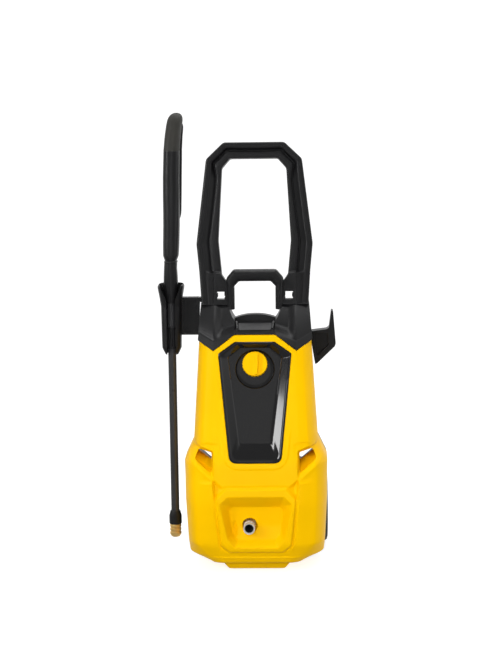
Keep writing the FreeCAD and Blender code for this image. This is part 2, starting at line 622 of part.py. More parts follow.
def soft_grip():
    """The soft sleeve on the end of the gun's handle, round the hose inlet."""
    body = plate_yz(GRIP_TOP, GUN_X - 20, GUN_X + 20, [0, 20, 12, 8, 12, 0]).common(gun_width_cutter())
    guard_gap = plate_yz(GUN_GUARD_OUT, GUN_X - 8.8, GUN_X + 8.8, [6, 20, 30, 30, 20, 16, 4])
    bore = rod(INLET_R + 0.05, INLET_START, (GUN_X, 84.9, 939.5))
    return body.cut(guard_gap.common(box(GUN_X - 30, GUN_X + 30, 92.0, 200, 850, 950))).cut(bore)


def gun_inlet():
    """The threaded inlet for the high-pressure hose, let into the end of the handle."""
    return ring(INLET_R, 4.6, INLET_START, INLET_END)


def trigger():
    """A long lever in the handle's rear, pivoted at its lower end, with a small pin for its lock."""
    outline = [(88.0, 716.0), (100.0, 714.0), (106.0, 730.0), (98.0, 770.0), (101.0, 815.0), (108.0, 842.0),
               (101.0, 848.0), (91.0, 815.0), (86.0, 770.0), (88.0, 740.0)]
    lever = plate_yz(outline, GUN_X - 5.8, GUN_X + 5.8, [4, 5, 12, 25, 30, 4, 3, 20, 20, 10])
    py, pz = TRIGGER_PIVOT
    ly, lz = LOCK_PIVOT
    slot = box(GUN_X - 3.3, GUN_X + 3.3, 92.0, 120.0, 786.0, 816.0)
    lever = lever.cut(slot).cut(rod(2.55, (GUN_X - 9, py, pz), (GUN_X + 9, py, pz)))
    return fuse([lever, rod(1.5, (GUN_X - 5.0, ly, lz), (GUN_X + 5.0, ly, lz))])


def trigger_pin():
    py, pz = TRIGGER_PIVOT
    return rod(2.5, (GUN_X - 12, py, pz), (GUN_X + 12, py, pz))


def trigger_lock():
    """A small catch in the trigger that swings down to block it."""
    ly, lz = LOCK_PIVOT
    outline = [(-3, -4), (4, -6), (7, 9), (2, 10), (-3, 4)]
    tab = plate_yz([(ly + y, lz + z) for y, z in outline], GUN_X - 2.9, GUN_X + 2.9, 1.5)
    return tab.cut(rod(1.55, (GUN_X - 9, ly, lz), (GUN_X + 9, ly, lz)))


def gun_valve():
    """The brass valve block: water comes in from the handle and leaves down the lance."""
    block = plate_yz([(53, 690), (71.5, 690), (71.5, 756), (53, 756)], GUN_X - 10, GUN_X + 10, 2)
    block = fuse([block, rod(7.0, (GUN_X, GUN_Y, 602.0), (GUN_X, GUN_Y, 691.0))])
    block = block.cut(rod(4.0, (GUN_X, GUN_Y, 601.0), (GUN_X, GUN_Y, 748.0)))
    return block.cut(rod(2.25, (GUN_X, GUN_Y, VALVE_Z), (GUN_X, 90.0, VALVE_Z)))


def valve_pin():
    """The push rod between the trigger and the valve, with a collar for its spring."""
    stem = rod(2.2, (GUN_X, 68.0, VALVE_Z), (GUN_X, 87.0, VALVE_Z))
    return fuse([stem, rod(4.0, (GUN_X, 79.5, VALVE_Z), (GUN_X, 81.0, VALVE_Z))])


def supply_tube():
    """The pipe inside the handle, from the hose inlet to the valve."""
    return ring(4.0, 2.6, (GUN_X, 61.0, 756.5), (GUN_X, 63.4, 826.0))


def gun_screw_places():
    """Where the gun's screw heads are, on its right-hand side."""
    return [(GUN_X + 12.6, 58.0, 612.0), (GUN_X + 15.0, 58.0, 772.0), (GUN_X + 15.0, 62.0, 836.0),
            (GUN_X + 7.0, 106.0, 712.0)]


def gun_screws():
    made = []
    for x, y, z in gun_screw_places():
        head = rod(3.2, (x - 0.8, y, z), (x + 0.8, y, z))
        made.append(head.cut(box(x + 0.2, x + 2, y - 2.4, y + 2.4, z - 0.4, z + 0.4)))
    return group(made)


def lance_collar():
    """The fluted bayonet nut that holds the lance in the gun."""
    body = rod(11.6, (GUN_X, GUN_Y, 447.0), (GUN_X, GUN_Y, 491.0))
    for i in range(14):
        a = 2 * math.pi * i / 14
        x, y = GUN_X + 12.1 * math.cos(a), GUN_Y + 12.1 * math.sin(a)
        body = body.cut(rod(1.5, (x, y, 452.0), (x, y, 487.0)))
    return body.cut(rod(LANCE_R + 0.05, (GUN_X, GUN_Y, 440.0), (GUN_X, GUN_Y, 500.0)))


def lance_tube():
    """The lance, with a thin spigot at its lower end that the nozzle turns on."""
    tube = ring(LANCE_R, LANCE_BORE, (GUN_X, GUN_Y, LANCE_BOTTOM_Z), (GUN_X, GUN_Y, 600.0))
    spigot = ring(SPIGOT_R, LANCE_BORE - 1.2, (GUN_X, GUN_Y, SPIGOT_Z), (GUN_X, GUN_Y, LANCE_BOTTOM_Z + 2))
    return fuse([tube, spigot])


def lance_end_collar():
    """The flared plastic collar at the lance's lower end."""
    top, bottom = 97.0, 72.4
    profile = [(LANCE_R, top + 4), (10.4, top + 4), (13.2, top - 7), (13.2, bottom + 2), (12.6, bottom),
               (LANCE_R, bottom)]
    wire = rounded_wire(profile, 0, lambda r, z: (GUN_X + r, GUN_Y, z))
    return Part.Face(wire).revolve(V(GUN_X, GUN_Y, 0), V(0, 0, 1), 360)


def nozzle():
    """The brass quick-connect nozzle, grooved round its middle."""
    bore = SPIGOT_R + 0.05
    pts = [(bore, 72.0), (10.6, 72.0), (12.0, 70.0), (12.0, 66.0), (10.4, 65.2), (10.4, 63.4), (12.0, 62.6),
           (12.0, 58.6), (10.4, 57.8), (10.4, 56.0), (12.0, 55.2), (12.0, 50.0), (9.0, NOZZLE_BOTTOM_Z),
           (4.0, NOZZLE_BOTTOM_Z), (4.0, 60.0), (bore, 60.0)]
    wire = rounded_wire(pts, 0, lambda r, z: (GUN_X + r, GUN_Y, z))
    return Part.Face(wire).revolve(V(GUN_X, GUN_Y, 0), V(0, 0, 1), 360)


# ---------------------------------------------------------------- holders at the sides
HOLDER_TOP, HOLDER_BOTTOM, CHANNEL_R, HOLDER_SLOT = 580.0, 434.0, 14.6, 9.0


def holder_outer():
    """The holder's outer form: a channel below and a funnel above."""
    channel = loft([
        rounded_wire([(GUN_X + x, GUN_Y + y) for x, y in ((-20, -18), (20, -18), (20, 20), (-20, 20))], 14,
                     lambda a, b: (a, b, HOLDER_BOTTOM)),
        rounded_wire([(GUN_X + x, GUN_Y + y) for x, y in ((-21, -20), (21, -20), (21, 22), (-21, 22))], 14,
                     lambda a, b: (a, b, 536.0)),
    ])
    cup = loft([
        rounded_wire([(GUN_X + x, GUN_Y + y) for x, y in ((-21, -20), (21, -20), (21, 22), (-21, 22))], 14,
                     lambda a, b: (a, b, 536.0)),
        rounded_wire([(GUN_X + x, GUN_Y + y) for x, y in ((-27, -28), (27, -28), (27, 36), (-27, 36))], 14,
                     lambda a, b: (a, b, HOLDER_TOP)),
    ])
    return fuse([channel, cup])


def gun_holder():
    """A funnel for the gun and a channel for the lance, open along the front."""
    hollow = loft([
        rounded_wire([(GUN_X + x, GUN_Y + y) for x, y in ((-15, -14), (15, -14), (15, 18), (-15, 18))], 10,
                     lambda a, b: (a, b, 532.0)),
        rounded_wire([(GUN_X + x, GUN_Y + y) for x, y in ((-24, -25), (24, -25), (24, 33), (-24, 33))], 12,
                     lambda a, b: (a, b, HOLDER_TOP + 2)),
    ])
    body = holder_outer().cut(hollow)
    body = body.cut(rod(CHANNEL_R, (GUN_X, GUN_Y, 430.0), (GUN_X, GUN_Y, 540.0)))
    body = body.cut(box(GUN_X - HOLDER_SLOT, GUN_X + HOLDER_SLOT, 0, GUN_Y, 430, 545))
    notch = plate_xz([(GUN_X - 9, 540), (GUN_X + 9, 540), (GUN_X + 22, 581), (GUN_X - 22, 581)], 0, GUN_Y)
    return body.cut(notch)


def holder_bracket():
    """The flat bracket between the holder and the handle's foot."""
    outline = [(-158.0, 474.0), (-117.6, 474.0), (-111.2, 541.0), (-116.0, 552.0), (-158.0, 552.0)]
    arm = plate_xz(outline, 64.0, 82.0)
    arm = arm.cut(box(-147, -121, 50, 70, 479, 547)).cut(holder_outer())
    return max(arm.Solids, key=lambda piece: piece.Volume)


def bracket_screws():
    made = []
    for x, z in ((-134.0, 490.0), (-134.0, 534.0), (129.0, 452.0), (140.0, 452.6)):
        y = 82.0 if x < 0 else 104.0
        head = rod(4.0, (x, y, z), (x, y + 2.4, z))
        made.append(head.cut(box(x - 3, x + 3, y + 1.4, y + 3, z - 0.5, z + 0.5)))
    return group(made)


def accessory_hook():
    """A hook for the wound hose: a lower arm on a gusset, and a ribbed upright end."""
    y0, y1 = 76.0, 104.0
    outline = [(110.8, 541.0), (117.2, 470.6), (117.2, 440.0), (124.0, 407.0), (131.0, 412.0),
               (165.0, 446.0), (166.0, 452.0), (160.0, 522.0), (153.0, 522.0), (152.0, 462.0),
               (146.0, 457.0), (128.0, 457.0), (121.0, 466.0), (119.0, 500.0), (114.0, 541.0)]
    hook = plate_xz(outline, y0, y1, [0, 0, 3, 5, 4, 6, 4, 3, 3, 8, 6, 8, 8, 10, 0])
    recess = plate_xz([(124.0, 446.0), (127.0, 420.0), (150.0, 443.0), (146.0, 449.0)], y0 - 1, y0 + 9, 3)
    hook = hook.cut(recess).cut(recess.translated(V(0, y1 - y0 - 7, 0)))
    for i in range(6):
        z = 470.0 + 8.0 * i
        hook = hook.cut(box(148, 153.6, y0 + 4, y1 - 4, z, z + 3))
    return hook


# ---------------------------------------------------------------- motor
MOTOR_Y = 72.0
PUMP_Y = 32.0
PINION_TEETH, GEAR_TEETH = 13, 39
GEAR_MODULE = 1.538
STATOR_R, STATOR_BORE, ROTOR_R = 46.0, 28.6, 27.8


def at_motor(r, z0, z1):
    return rod(r, (0, MOTOR_Y, z0), (0, MOTOR_Y, z1))


def at_pump(r, z0, z1):
    return rod(r, (0, PUMP_Y, z0), (0, PUMP_Y, z1))


def stator_core():
    """The laminated stator, a ring with two flats."""
    body = at_motor(STATOR_R, 215, 305).cut(at_motor(STATOR_BORE, 200, 320))
    for s in (-1, 1):
        x0, x1 = sorted((s * 43.0, s * 60.0))
        body = body.cut(box(x0, x1, 0, 150, 210, 310))
    return body


def stator_windings():
    """The copper end turns, above and below the core."""
    ends = [(199.0, 214.7), (305.3, 321.0)]
    return group([at_motor(41, z0, z1).cut(at_motor(31, z0 - 1, z1 + 1)) for z0, z1 in ends])


def end_shield(z0, z1, skirt_z, bearing_z):
    """A cast end shield: a bearing seat, four windows, and a skirt that reaches the stator core."""
    bearing_r = 13.0
    plate = at_motor(STATOR_R, z0, z1)
    boss = at_motor(bearing_r + 4, min(z0, bearing_z - 2), max(z1, bearing_z + 9))
    skirt = at_motor(STATOR_R, min(z0, skirt_z), max(z1, skirt_z)).cut(at_motor(STATOR_R - WALL, 100, 400))
    body = fuse([plate, boss, skirt]).cut(at_motor(bearing_r, bearing_z, bearing_z + 7))
    body = body.cut(at_motor(8.0, 100, 400))
    for i in range(4):
        a = math.radians(45 + 90 * i)
        cx, cy = 30 * math.cos(a), MOTOR_Y + 30 * math.sin(a)
        body = body.cut(rod(8.0, (cx, cy, z0 - 1), (cx, cy, z1 + 1)))
    return body


def motor_end_shield_lower():
    return end_shield(184, 192, 215, 183)


def motor_end_shield_upper():
    return end_shield(352, 360, 305, 353)


def motor_bearing(z):
    """A shielded ball bearing, closed by a sunk shield between its rings on each face."""
    body = at_motor(12.95, z, z + 7).cut(at_motor(5.03, z - 1, z + 8))
    shield = at_motor(10.5, z - 1, z + 0.8).cut(at_motor(8.0, z - 2, z + 2))
    return body.cut(shield).cut(shield.translated(V(0, 0, 7.2)))


def brush_gear():
    """Two brass boxes and the carbon brushes in them, each side of the commutator."""
    made = []
    for s in (-1, 1):
        x0, x1 = sorted((s * 19.0, s * 42.0))
        b0, b1 = sorted((s * 18.0, s * 38.0))
        inside = box(b0, b1, MOTOR_Y - 4, MOTOR_Y + 4, 328.5, 339.5)
        made.append(box(x0, x1, MOTOR_Y - 6, MOTOR_Y + 6, 326, 342).cut(inside))
        x0, x1 = sorted((s * 16.4, s * 34.0))
        made.append(box(x0, x1, MOTOR_Y - 3.8, MOTOR_Y + 3.8, 328.7, 339.3))
    return group(made)


def rotor_shaft():
    """The motor shaft with its pinion cut on the lower end; a tooth gap faces the drive gear."""
    teeth = toothed(0, MOTOR_Y, PINION_TEETH, 152, 172, -90.0 + 180.0 / PINION_TEETH)
    return fuse([at_motor(5.0, 150, 388), at_motor(7.0, 196, 350), teeth])


def armature():
    """The slotted rotor core and the commutator, both pressed on the shaft."""
    return group([rotor_core(), commutator()])


def rotor_core():
    body = at_motor(ROTOR_R, 217, 303).cut(at_motor(7.0, 200, 320))
    for i in range(12):
        a = 2 * math.pi * i / 12
        slot = box(22.0, 30.0, -1.2, 1.2, 210, 310)
        slot.rotate(V(0, 0, 0), V(0, 0, 1), math.degrees(a))
        body = body.cut(slot.translated(V(0, MOTOR_Y, 0)))
    return body


def commutator():
    body = at_motor(16.0, 324, 344).cut(at_motor(7.0, 320, 350))
    for i in range(24):
        bar = box(14.6, 17.0, -0.3, 0.3, 320, 350)
        bar.rotate(V(0, 0, 0), V(0, 0, 1), 15 * i)
        body = body.cut(bar.translated(V(0, MOTOR_Y, 0)))
    return body


def cooling_fan():
    """The fan at the top of the motor, with nine curved blades."""
    body = fuse([at_motor(43, 370, 372), at_motor(11, 370, 384)])
    blades = []
    for i in range(9):
        blade = ring(30.0, 28.4, (0, 0, 371.5), (0, 0, 384.0)).common(box(0, 40, -3, 30, 370, 390))
        blade = blade.translated(V(-17.0, 0.0, 0)).common(ring(42, 10, (0, 0, 370), (0, 0, 390)))
        shift = blade.translated(V(14.0, -8.0, 0)).common(ring(42, 10.5, (0, 0, 370), (0, 0, 390)))
        shift.rotate(V(0, 0, 0), V(0, 0, 1), 40 * i)
        blades.append(shift.translated(V(0, MOTOR_Y, 0)))
    return fuse([body] + blades).cut(at_motor(5.0, 360, 390))


def toothed(x, y, teeth, z0, z1, turn):
    """A spur gear with straight-sided teeth thinned for clearance."""
    pitch_r = GEAR_MODULE * teeth / 2
    root_r, tip_r = pitch_r - 1.15 * GEAR_MODULE, pitch_r + 0.8 * GEAR_MODULE
    half_pitch = math.pi * GEAR_MODULE / 2
    base, tip = half_pitch * 0.36, half_pitch * 0.17
    tooth = plate_xy([(root_r - 1, base), (pitch_r, base), (tip_r, tip), (tip_r, -tip), (pitch_r, -base),
                      (root_r - 1, -base)], z0, z1)
    made = [rod(root_r, (0, 0, z0), (0, 0, z1))]
    for i in range(teeth):
        one = tooth.copy()
        one.rotate(V(0, 0, 0), V(0, 0, 1), 360.0 * i / teeth + turn)
        made.append(one)
    return fuse(made).translated(V(x, y, 0))


def drive_gear():
    gear = toothed(0, PUMP_Y, GEAR_TEETH, 154, 168, 90.0)
    gear = fuse([gear, at_pump(12, 150.5, 154)]).cut(at_pump(7.0, 140, 180))
    for i in range(6):
        a = math.radians(60 * i)
        x, y = 18 * math.cos(a), PUMP_Y + 18 * math.sin(a)
        gear = gear.cut(rod(4.5, (x, y, 150), (x, y, 170)))
    return gear


def swash_plate():
    """The wobble plate on its shaft: the tilted lower face drives the pistons down in turn."""
    body = fuse([at_pump(32.0, 118.0, 146.0), at_pump(7.0, 140.0, 174.0), at_pump(4.0, 174.0, 179.0)])
    tilt = box(-60, 60, -40, 40, -40, 0)
    tilt.rotate(V(0, 0, 0), V(0, 1, 0), 7.0)
    body = body.cut(tilt.translated(V(0, PUMP_Y, 124.0)))
    return body


def gear_case():
    """The cast case between the motor and the pump, with the shaft bearings' seats."""
    stadium = [at_pump(40, 108, 182), at_motor(22, 108, 182), box(-22, 22, PUMP_Y, MOTOR_Y, 108, 182)]
    inside = [at_pump(36, 100, 175), at_motor(18, 112, 175), box(-18, 18, PUMP_Y, MOTOR_Y, 112, 175)]
    body = fuse(stadium).cut(fuse(inside))
    return body.cut(at_motor(17.3, 170, 190)).cut(at_pump(4.05, 170, 190))


# ---------------------------------------------------------------- pump
def piston_places():
    for i in range(PISTON_COUNT):
        a = math.radians(90 + 360.0 / PISTON_COUNT * i)
        yield PISTON_RING_R * math.cos(a), PUMP_Y + PISTON_RING_R * math.sin(a)


def piston(index):
    """A hard-chromed plunger with a spring collar near its top."""
    x, y = list(piston_places())[index]
    body = fuse([rod(PISTON_R, (x, y, 74), (x, y, 119.7)), rod(8.6, (x, y, 112.0), (x, y, 115.0))])
    return body


def pump_housing():
    """The cylinder block with its three bores."""
    body = at_pump(40, 62, 98).cut(at_pump(9, 70, 99))
    body = fuse([body, at_pump(40, 98, 107.7).cut(at_pump(36, 97, 109))])
    for x, y in piston_places():
        body = body.cut(rod(PISTON_R + 0.06, (x, y, 60), (x, y, 100)))
    return body


def pump_head():
    """The head with its inlet gallery to the rear, its outlet to the front and the valve pockets."""
    body = at_pump(40, 24, 61.7)
    body = fuse([body, box(-34, 34, PUMP_Y - 40, PUMP_Y + 40, 24, 61.7).common(at_pump(46, 24, 61.7))])
    for x, y in piston_places():
        body = body.cut(rod(9.05, (x, y, 58.5), (x, y, 62))).cut(rod(5.5, (x, y, 40), (x, y, 60)))
    body = fuse([body, box(OUTLET_X - 12, OUTLET_X + 12, PUMP_Y - 46, PUMP_Y - 30, 40, OUTLET_Z + 9.5)])
    body = fuse([body, box(WATER_X - 11, WATER_X + 11, PUMP_Y + 41, PUMP_Y + 56, 34, WATER_Z + 9.5)])
    body = fuse([body, box(WATER_X - 11, WATER_X + 11, PUMP_Y + 25, PUMP_Y + 42, 34, 60)])
    body = body.cut(rod(5.0, (OUTLET_X, PUMP_Y - 47, OUTLET_Z), (OUTLET_X, PUMP_Y - 36, OUTLET_Z)))
    body = body.cut(rod(6.0, (WATER_X, PUMP_Y + 46, WATER_Z), (WATER_X, PUMP_Y + 60, WATER_Z)))
    return body.cut(at_pump(41, 62.0, 108))


def outlet_connector():
    """The threaded high-pressure outlet, with a hexagon behind and a bore through it."""
    y0 = PUMP_Y - 46.0
    end_y = -74.0
    turns = [math.radians(60 * k) for k in range(6)]
    corners = [(OUTLET_X + 13 * math.cos(a), OUTLET_Z + 13 * math.sin(a)) for a in turns]
    hexagon = plate_xz(corners, y0 - 8.0, y0)
    barrel = rod(10.4, (OUTLET_X, end_y + 2.0, OUTLET_Z), (OUTLET_X, y0 - 7.0, OUTLET_Z))
    nose = rod(OUTLET_R, (OUTLET_X, end_y, OUTLET_Z), (OUTLET_X, end_y + 6.0, OUTLET_Z))
    threads = []
    for i in range(6):
        y = end_y + 8.5 + 2.5 * i
        threads.append(rod(OUTLET_R, (OUTLET_X, y, OUTLET_Z), (OUTLET_X, y + 1.4, OUTLET_Z)))
    body = fuse([hexagon, barrel, nose] + threads)
    return body.cut(rod(6.0, (OUTLET_X, end_y - 1, OUTLET_Z), (OUTLET_X, y0 + 1, OUTLET_Z)))


def water_inlet():
    """The garden-hose inlet at the rear, with a ribbed collar and its thread."""
    y0, y1 = PUMP_Y + 56.0, 158.0
    barrel = rod(10.4, (WATER_X, y0, WATER_Z), (WATER_X, y1, WATER_Z))
    collar = rod(14.6, (WATER_X, 130.0, WATER_Z), (WATER_X, 142.0, WATER_Z))
    threads = []
    for i in range(3):
        y = 144.0 + 2.6 * i
        threads.append(rod(11.9, (WATER_X, y, WATER_Z), (WATER_X, y + 1.5, WATER_Z)))
    nose = rod(11.9, (WATER_X, y1 - 6.0, WATER_Z), (WATER_X, y1, WATER_Z))
    body = fuse([barrel, collar, nose] + threads)
    return body.cut(rod(7.5, (WATER_X, y0 - 1, WATER_Z), (WATER_X, y1 + 1, WATER_Z)))


def vibration_mounts():
    """Four rubber blocks between the pump and the floor of the casing."""
    places = [(x, PUMP_Y + y) for x in (-24, 24) for y in (-22, 22)]
    return group([rod(9, (x, y, 17.8), (x, y, 24)) for x, y in places])


def foot_pad():
    """The rubber pad let into the underside of the front foot."""
    return plate_xy([(54, -23), (54, 25), (-54, 25), (-54, -23)], 0.0, 2.7, 5)


# ---------------------------------------------------------------- every sub-part, by node name
NODES = {
    "front_shell": front_shell,
    "rear_shell": rear_shell,
    "case_screws": lambda: group([shell_screws(), carrier_screws(), handle_screws(), bracket_screws()]),
    "foot_pad": foot_pad,
    "control_panel": control_panel,
    "power_knob": power_knob,
    "switch_shaft": switch_shaft,
    "rotary_switch": rotary_switch,
    "top_cap": top_cap,
    "shoulder_left": lambda: shoulder(-1),
    "shoulder_right": lambda: shoulder(1),
    "carry_grip": carry_grip,
    "handle_front": handle_front,
    "handle_back": handle_back,
    "cable_gland": cable_gland,
    "wheel_carrier": wheel_carrier,
    "axle": axle,
    "axle_retainers": axle_retainers,
    "tyre_left": lambda: tyre(-1),
    "tyre_right": lambda: tyre(1),
    "hub_left": lambda: hub(-1),
    "hub_right": lambda: hub(1),
    "hub_cap_left": lambda: hub_cap(-1),
    "hub_cap_right": lambda: hub_cap(1),
    "gun_holder": gun_holder,
    "holder_bracket": holder_bracket,
    "accessory_hook": accessory_hook,
    "gun_half_left": lambda: gun_half(-1),
    "gun_half_right": lambda: gun_half(1),
    "soft_grip": soft_grip,
    "gun_inlet": gun_inlet,
    "supply_tube": supply_tube,
    "gun_fasteners": lambda: group([gun_screws(), trigger_pin()]),
    "gun_valve": gun_valve,
    "valve_pin": valve_pin,
    "trigger": trigger,
    "trigger_lock": trigger_lock,
    "lance_collar": lance_collar,
    "lance_tube": lance_tube,
    "lance_end_collar": lance_end_collar,
    "nozzle": nozzle,
    "stator_core": stator_core,
    "stator_windings": stator_windings,
    "motor_end_shields": lambda: group([motor_end_shield_lower(), motor_end_shield_upper()]),
    "motor_bearings": lambda: group([motor_bearing(183.0), motor_bearing(353.0)]),
    "brush_gear": brush_gear,
    "rotor_shaft": rotor_shaft,
    "armature": armature,
    "cooling_fan": cooling_fan,
    "drive_gear": drive_gear,
    "swash_plate": swash_plate,
    "gear_case": gear_case,
    "pump_housing": pump_housing,
    "pump_head": pump_head,
    "piston_1": lambda: piston(0),
    "piston_2": lambda: piston(1),
    "piston_3": lambda: piston(2),
    "outlet_connector": outlet_connector,
    "water_inlet": water_inlet,
    "vibration_mounts": vibration_mounts,
}


def write_parts():
    os.makedirs("parts", exist_ok=True)
    for name, make in NODES.items():
        shape = make()
        if len(shape.Solids) == 1:
            shape = shape.Solids[0]
        state = "valid" if shape.isValid() else "INVALID"
        print(name, state, len(shape.Solids), "solids", round(shape.Volume / 1000, 2), "cm3")
        shape.exportStep("parts/" + name + ".step")


write_parts()
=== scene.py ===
"""Looks for the upright pressure washer: materials, finer shells and a plain studio, in metres."""
import json
import math

import bmesh
import bpy
import numpy as np
from mathutils import Matrix, Vector


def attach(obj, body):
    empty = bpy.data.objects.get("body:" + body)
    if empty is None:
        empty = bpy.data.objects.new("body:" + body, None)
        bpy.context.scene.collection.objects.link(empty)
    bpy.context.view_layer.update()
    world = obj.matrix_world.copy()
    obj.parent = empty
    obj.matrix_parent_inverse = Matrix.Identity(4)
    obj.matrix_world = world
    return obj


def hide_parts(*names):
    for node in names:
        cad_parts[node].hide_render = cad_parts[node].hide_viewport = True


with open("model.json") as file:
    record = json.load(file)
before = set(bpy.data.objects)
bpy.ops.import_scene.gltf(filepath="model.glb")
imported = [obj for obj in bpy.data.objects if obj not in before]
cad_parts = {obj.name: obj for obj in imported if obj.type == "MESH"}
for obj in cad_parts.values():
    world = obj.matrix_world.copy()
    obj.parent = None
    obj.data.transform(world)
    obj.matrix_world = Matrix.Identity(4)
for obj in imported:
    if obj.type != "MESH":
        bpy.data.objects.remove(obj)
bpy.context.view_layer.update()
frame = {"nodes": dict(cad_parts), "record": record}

NODES = frame["nodes"]
MM = 0.001


# ---- materials
class Tree:
    """A short way to write a node tree."""

    def __init__(self, name):
        self.material = bpy.data.materials.new(name)
        self.material.use_nodes = True
        self.nodes = self.material.node_tree.nodes
        self.links = self.material.node_tree.links
        self.nodes.clear()
        self.shader = self.add("ShaderNodeBsdfPrincipled")
        output = self.add("ShaderNodeOutputMaterial")
        self.links.new(self.shader.outputs["BSDF"], output.inputs["Surface"])
        self.place = self.add("ShaderNodeTexCoord").outputs["Object"]

    def add(self, kind, **values):
        node = self.nodes.new(kind)
        for key, value in values.items():
            setattr(node, key, value)
        return node

    def set(self, socket, value):
        if isinstance(value, bpy.types.NodeSocket):
            self.links.new(value, socket)
        else:
            socket.default_value = value

    def noise(self, scale, detail=4.0, rough=0.55, stretch=(1, 1, 1)):
        mapping = self.add("ShaderNodeMapping")
        self.set(mapping.inputs["Vector"], self.place)
        mapping.inputs["Scale"].default_value = stretch
        noise = self.add("ShaderNodeTexNoise")
        self.set(noise.inputs["Vector"], mapping.outputs["Vector"])
        noise.inputs["Scale"].default_value = scale
        noise.inputs["Detail"].default_value = detail
        noise.inputs["Roughness"].default_value = rough
        return noise.outputs["Fac"]

    def remap(self, value, low, high, start=0.3, end=0.7):
        node = self.add("ShaderNodeMapRange")
        self.set(node.inputs["Value"], value)
        for key, number in (("From Min", start), ("From Max", end), ("To Min", low), ("To Max", high)):
            node.inputs[key].default_value = number
        return node.outputs["Result"]

    def mix(self, factor, first, second):
        node = self.add("ShaderNodeMix", data_type="RGBA")
        self.set(node.inputs[0], factor)
        self.set(node.inputs[6], first)
        self.set(node.inputs[7], second)
        return node.outputs[2]

    def bump(self, height, strength, distance, after=None):
        node = self.add("ShaderNodeBump")
        self.set(node.inputs["Height"], height)
        node.inputs["Strength"].default_value = strength
        node.inputs["Distance"].default_value = distance
        if after is not None:
            self.set(node.inputs["Normal"], after)
        return node.outputs["Normal"]


def shade(colour, factor):
    return tuple(min(1.0, c * factor) for c in colour[:3]) + (1.0,)


def moulded(name, colour, rough, vary, grain, grain_depth, coat=0.0, wear=None, sheen=0.5):
    """Moulded plastic: a spark-eroded or polished skin, cloudy gloss, and edges rubbed a little lighter."""
    t = Tree(name)
    cloud = t.noise(7.0, 3.0)
    base = t.mix(t.remap(cloud, 0.0, 1.0), shade(colour, 1.0 - vary), shade(colour, 1.0 + vary))
    if wear is not None:
        edges = t.add("ShaderNodeNewGeometry").outputs["Pointiness"]
        base = t.mix(t.remap(edges, 0.0, 0.55, 0.52, 0.60), base, shade(wear, 1.0))
    t.set(t.shader.inputs["Base Color"], base)
    smear = t.noise(38.0, 6.0, 0.65, (1.0, 1.0, 0.35))
    t.set(t.shader.inputs["Roughness"], t.remap(smear, rough * 0.82, rough * 1.22, 0.25, 0.75))
    fine = t.bump(t.noise(grain, 2.0), grain_depth, 0.00012)
    waves = t.bump(t.noise(26.0, 2.0), 0.12, 0.0006, fine)
    t.set(t.shader.inputs["Normal"], waves)
    t.shader.inputs["IOR"].default_value = 1.5
    t.shader.inputs["Specular IOR Level"].default_value = sheen
    if coat:
        t.shader.inputs["Coat Weight"].default_value = coat
        t.shader.inputs["Coat Roughness"].default_value = 0.06
    return t.material


def metal(name, colour, rough, stretch=(1.0, 1.0, 1.0), scale=420.0, tarnish=None, bare=1.0):
    """Turned or drawn metal: fine lines, cloudy gloss and a little tarnish."""
    t = Tree(name)
    t.shader.inputs["Metallic"].default_value = bare
    lines = t.noise(scale, 3.0, 0.6, stretch)
    cloud = t.remap(t.noise(60.0, 5.0), 0.0, 1.0, 0.35, 0.7)
    worn = tarnish if tarnish is not None else shade(colour, 0.72)
    t.set(t.shader.inputs["Base Color"], t.mix(cloud, shade(colour, 1.0), worn))
    t.set(t.shader.inputs["Roughness"], t.remap(lines, rough * 0.7, rough * 1.4))
    t.set(t.shader.inputs["Normal"], t.bump(lines, 0.25, 0.00005))
    return t.material


PLASTICS = {
    "yellow": dict(colour=(0.96, 0.535, 0.0), rough=0.38, vary=0.03, grain=900.0, grain_depth=0.1,
                   sheen=0.05),
    "black_plastic": dict(colour=(0.008, 0.008, 0.0086), rough=0.4, vary=0.14, grain=1500.0, grain_depth=0.3,
                          wear=(0.022, 0.022, 0.023), sheen=0.4),
    "gloss_black": dict(colour=(0.006, 0.006, 0.0065), rough=0.13, vary=0.1, grain=500.0, grain_depth=0.03,
                        coat=0.6),
    "grey_plastic": dict(colour=(0.09, 0.09, 0.095), rough=0.42, vary=0.1, grain=1400.0, grain_depth=0.3),
    "soft_grip": dict(colour=(0.026, 0.025, 0.021), rough=0.62, vary=0.16, grain=1900.0, grain_depth=0.5),
    "rubber": dict(colour=(0.018, 0.018, 0.018), rough=0.8, vary=0.2, grain=900.0, grain_depth=0.5),
    "tyre": dict(colour=(0.016, 0.016, 0.016), rough=0.72, vary=0.25, grain=700.0, grain_depth=0.6),
    "lance_metal": dict(colour=(0.03, 0.03, 0.032), rough=0.3, vary=0.15, grain=1200.0, grain_depth=0.1,
                        coat=0.3),
}
METALS = {
    "brass": dict(colour=(0.98, 0.68, 0.25), rough=0.38, stretch=(1.0, 1.0, 9.0), scale=240.0,
                  tarnish=(0.8, 0.52, 0.17, 1.0), bare=0.75),
    "steel": dict(colour=(0.58, 0.58, 0.59), rough=0.32, stretch=(1.0, 1.0, 12.0)),
    "outlet_metal": dict(colour=(0.86, 0.85, 0.83), rough=0.36, stretch=(9.0, 1.0, 1.0), scale=260.0,
                         tarnish=(0.7, 0.68, 0.64, 1.0), bare=0.6),
    "chrome": dict(colour=(0.82, 0.82, 0.83), rough=0.1),
    "copper": dict(colour=(0.72, 0.33, 0.16), rough=0.38, stretch=(1.0, 1.0, 14.0), scale=500.0),
    "cast_aluminium": dict(colour=(0.62, 0.63, 0.64), rough=0.5, scale=700.0),
}
MATERIALS = {name: moulded(name, **look) for name, look in PLASTICS.items()}
MATERIALS.update({name: metal(name, **look) for name, look in METALS.items()})


def dress(obj, slot):
    obj.data.materials.clear()
    obj.data.materials.append(MATERIALS[slot])


for entry in frame["record"]["subparts"]:
    dress(NODES[entry["node"]], entry["material_slot"])


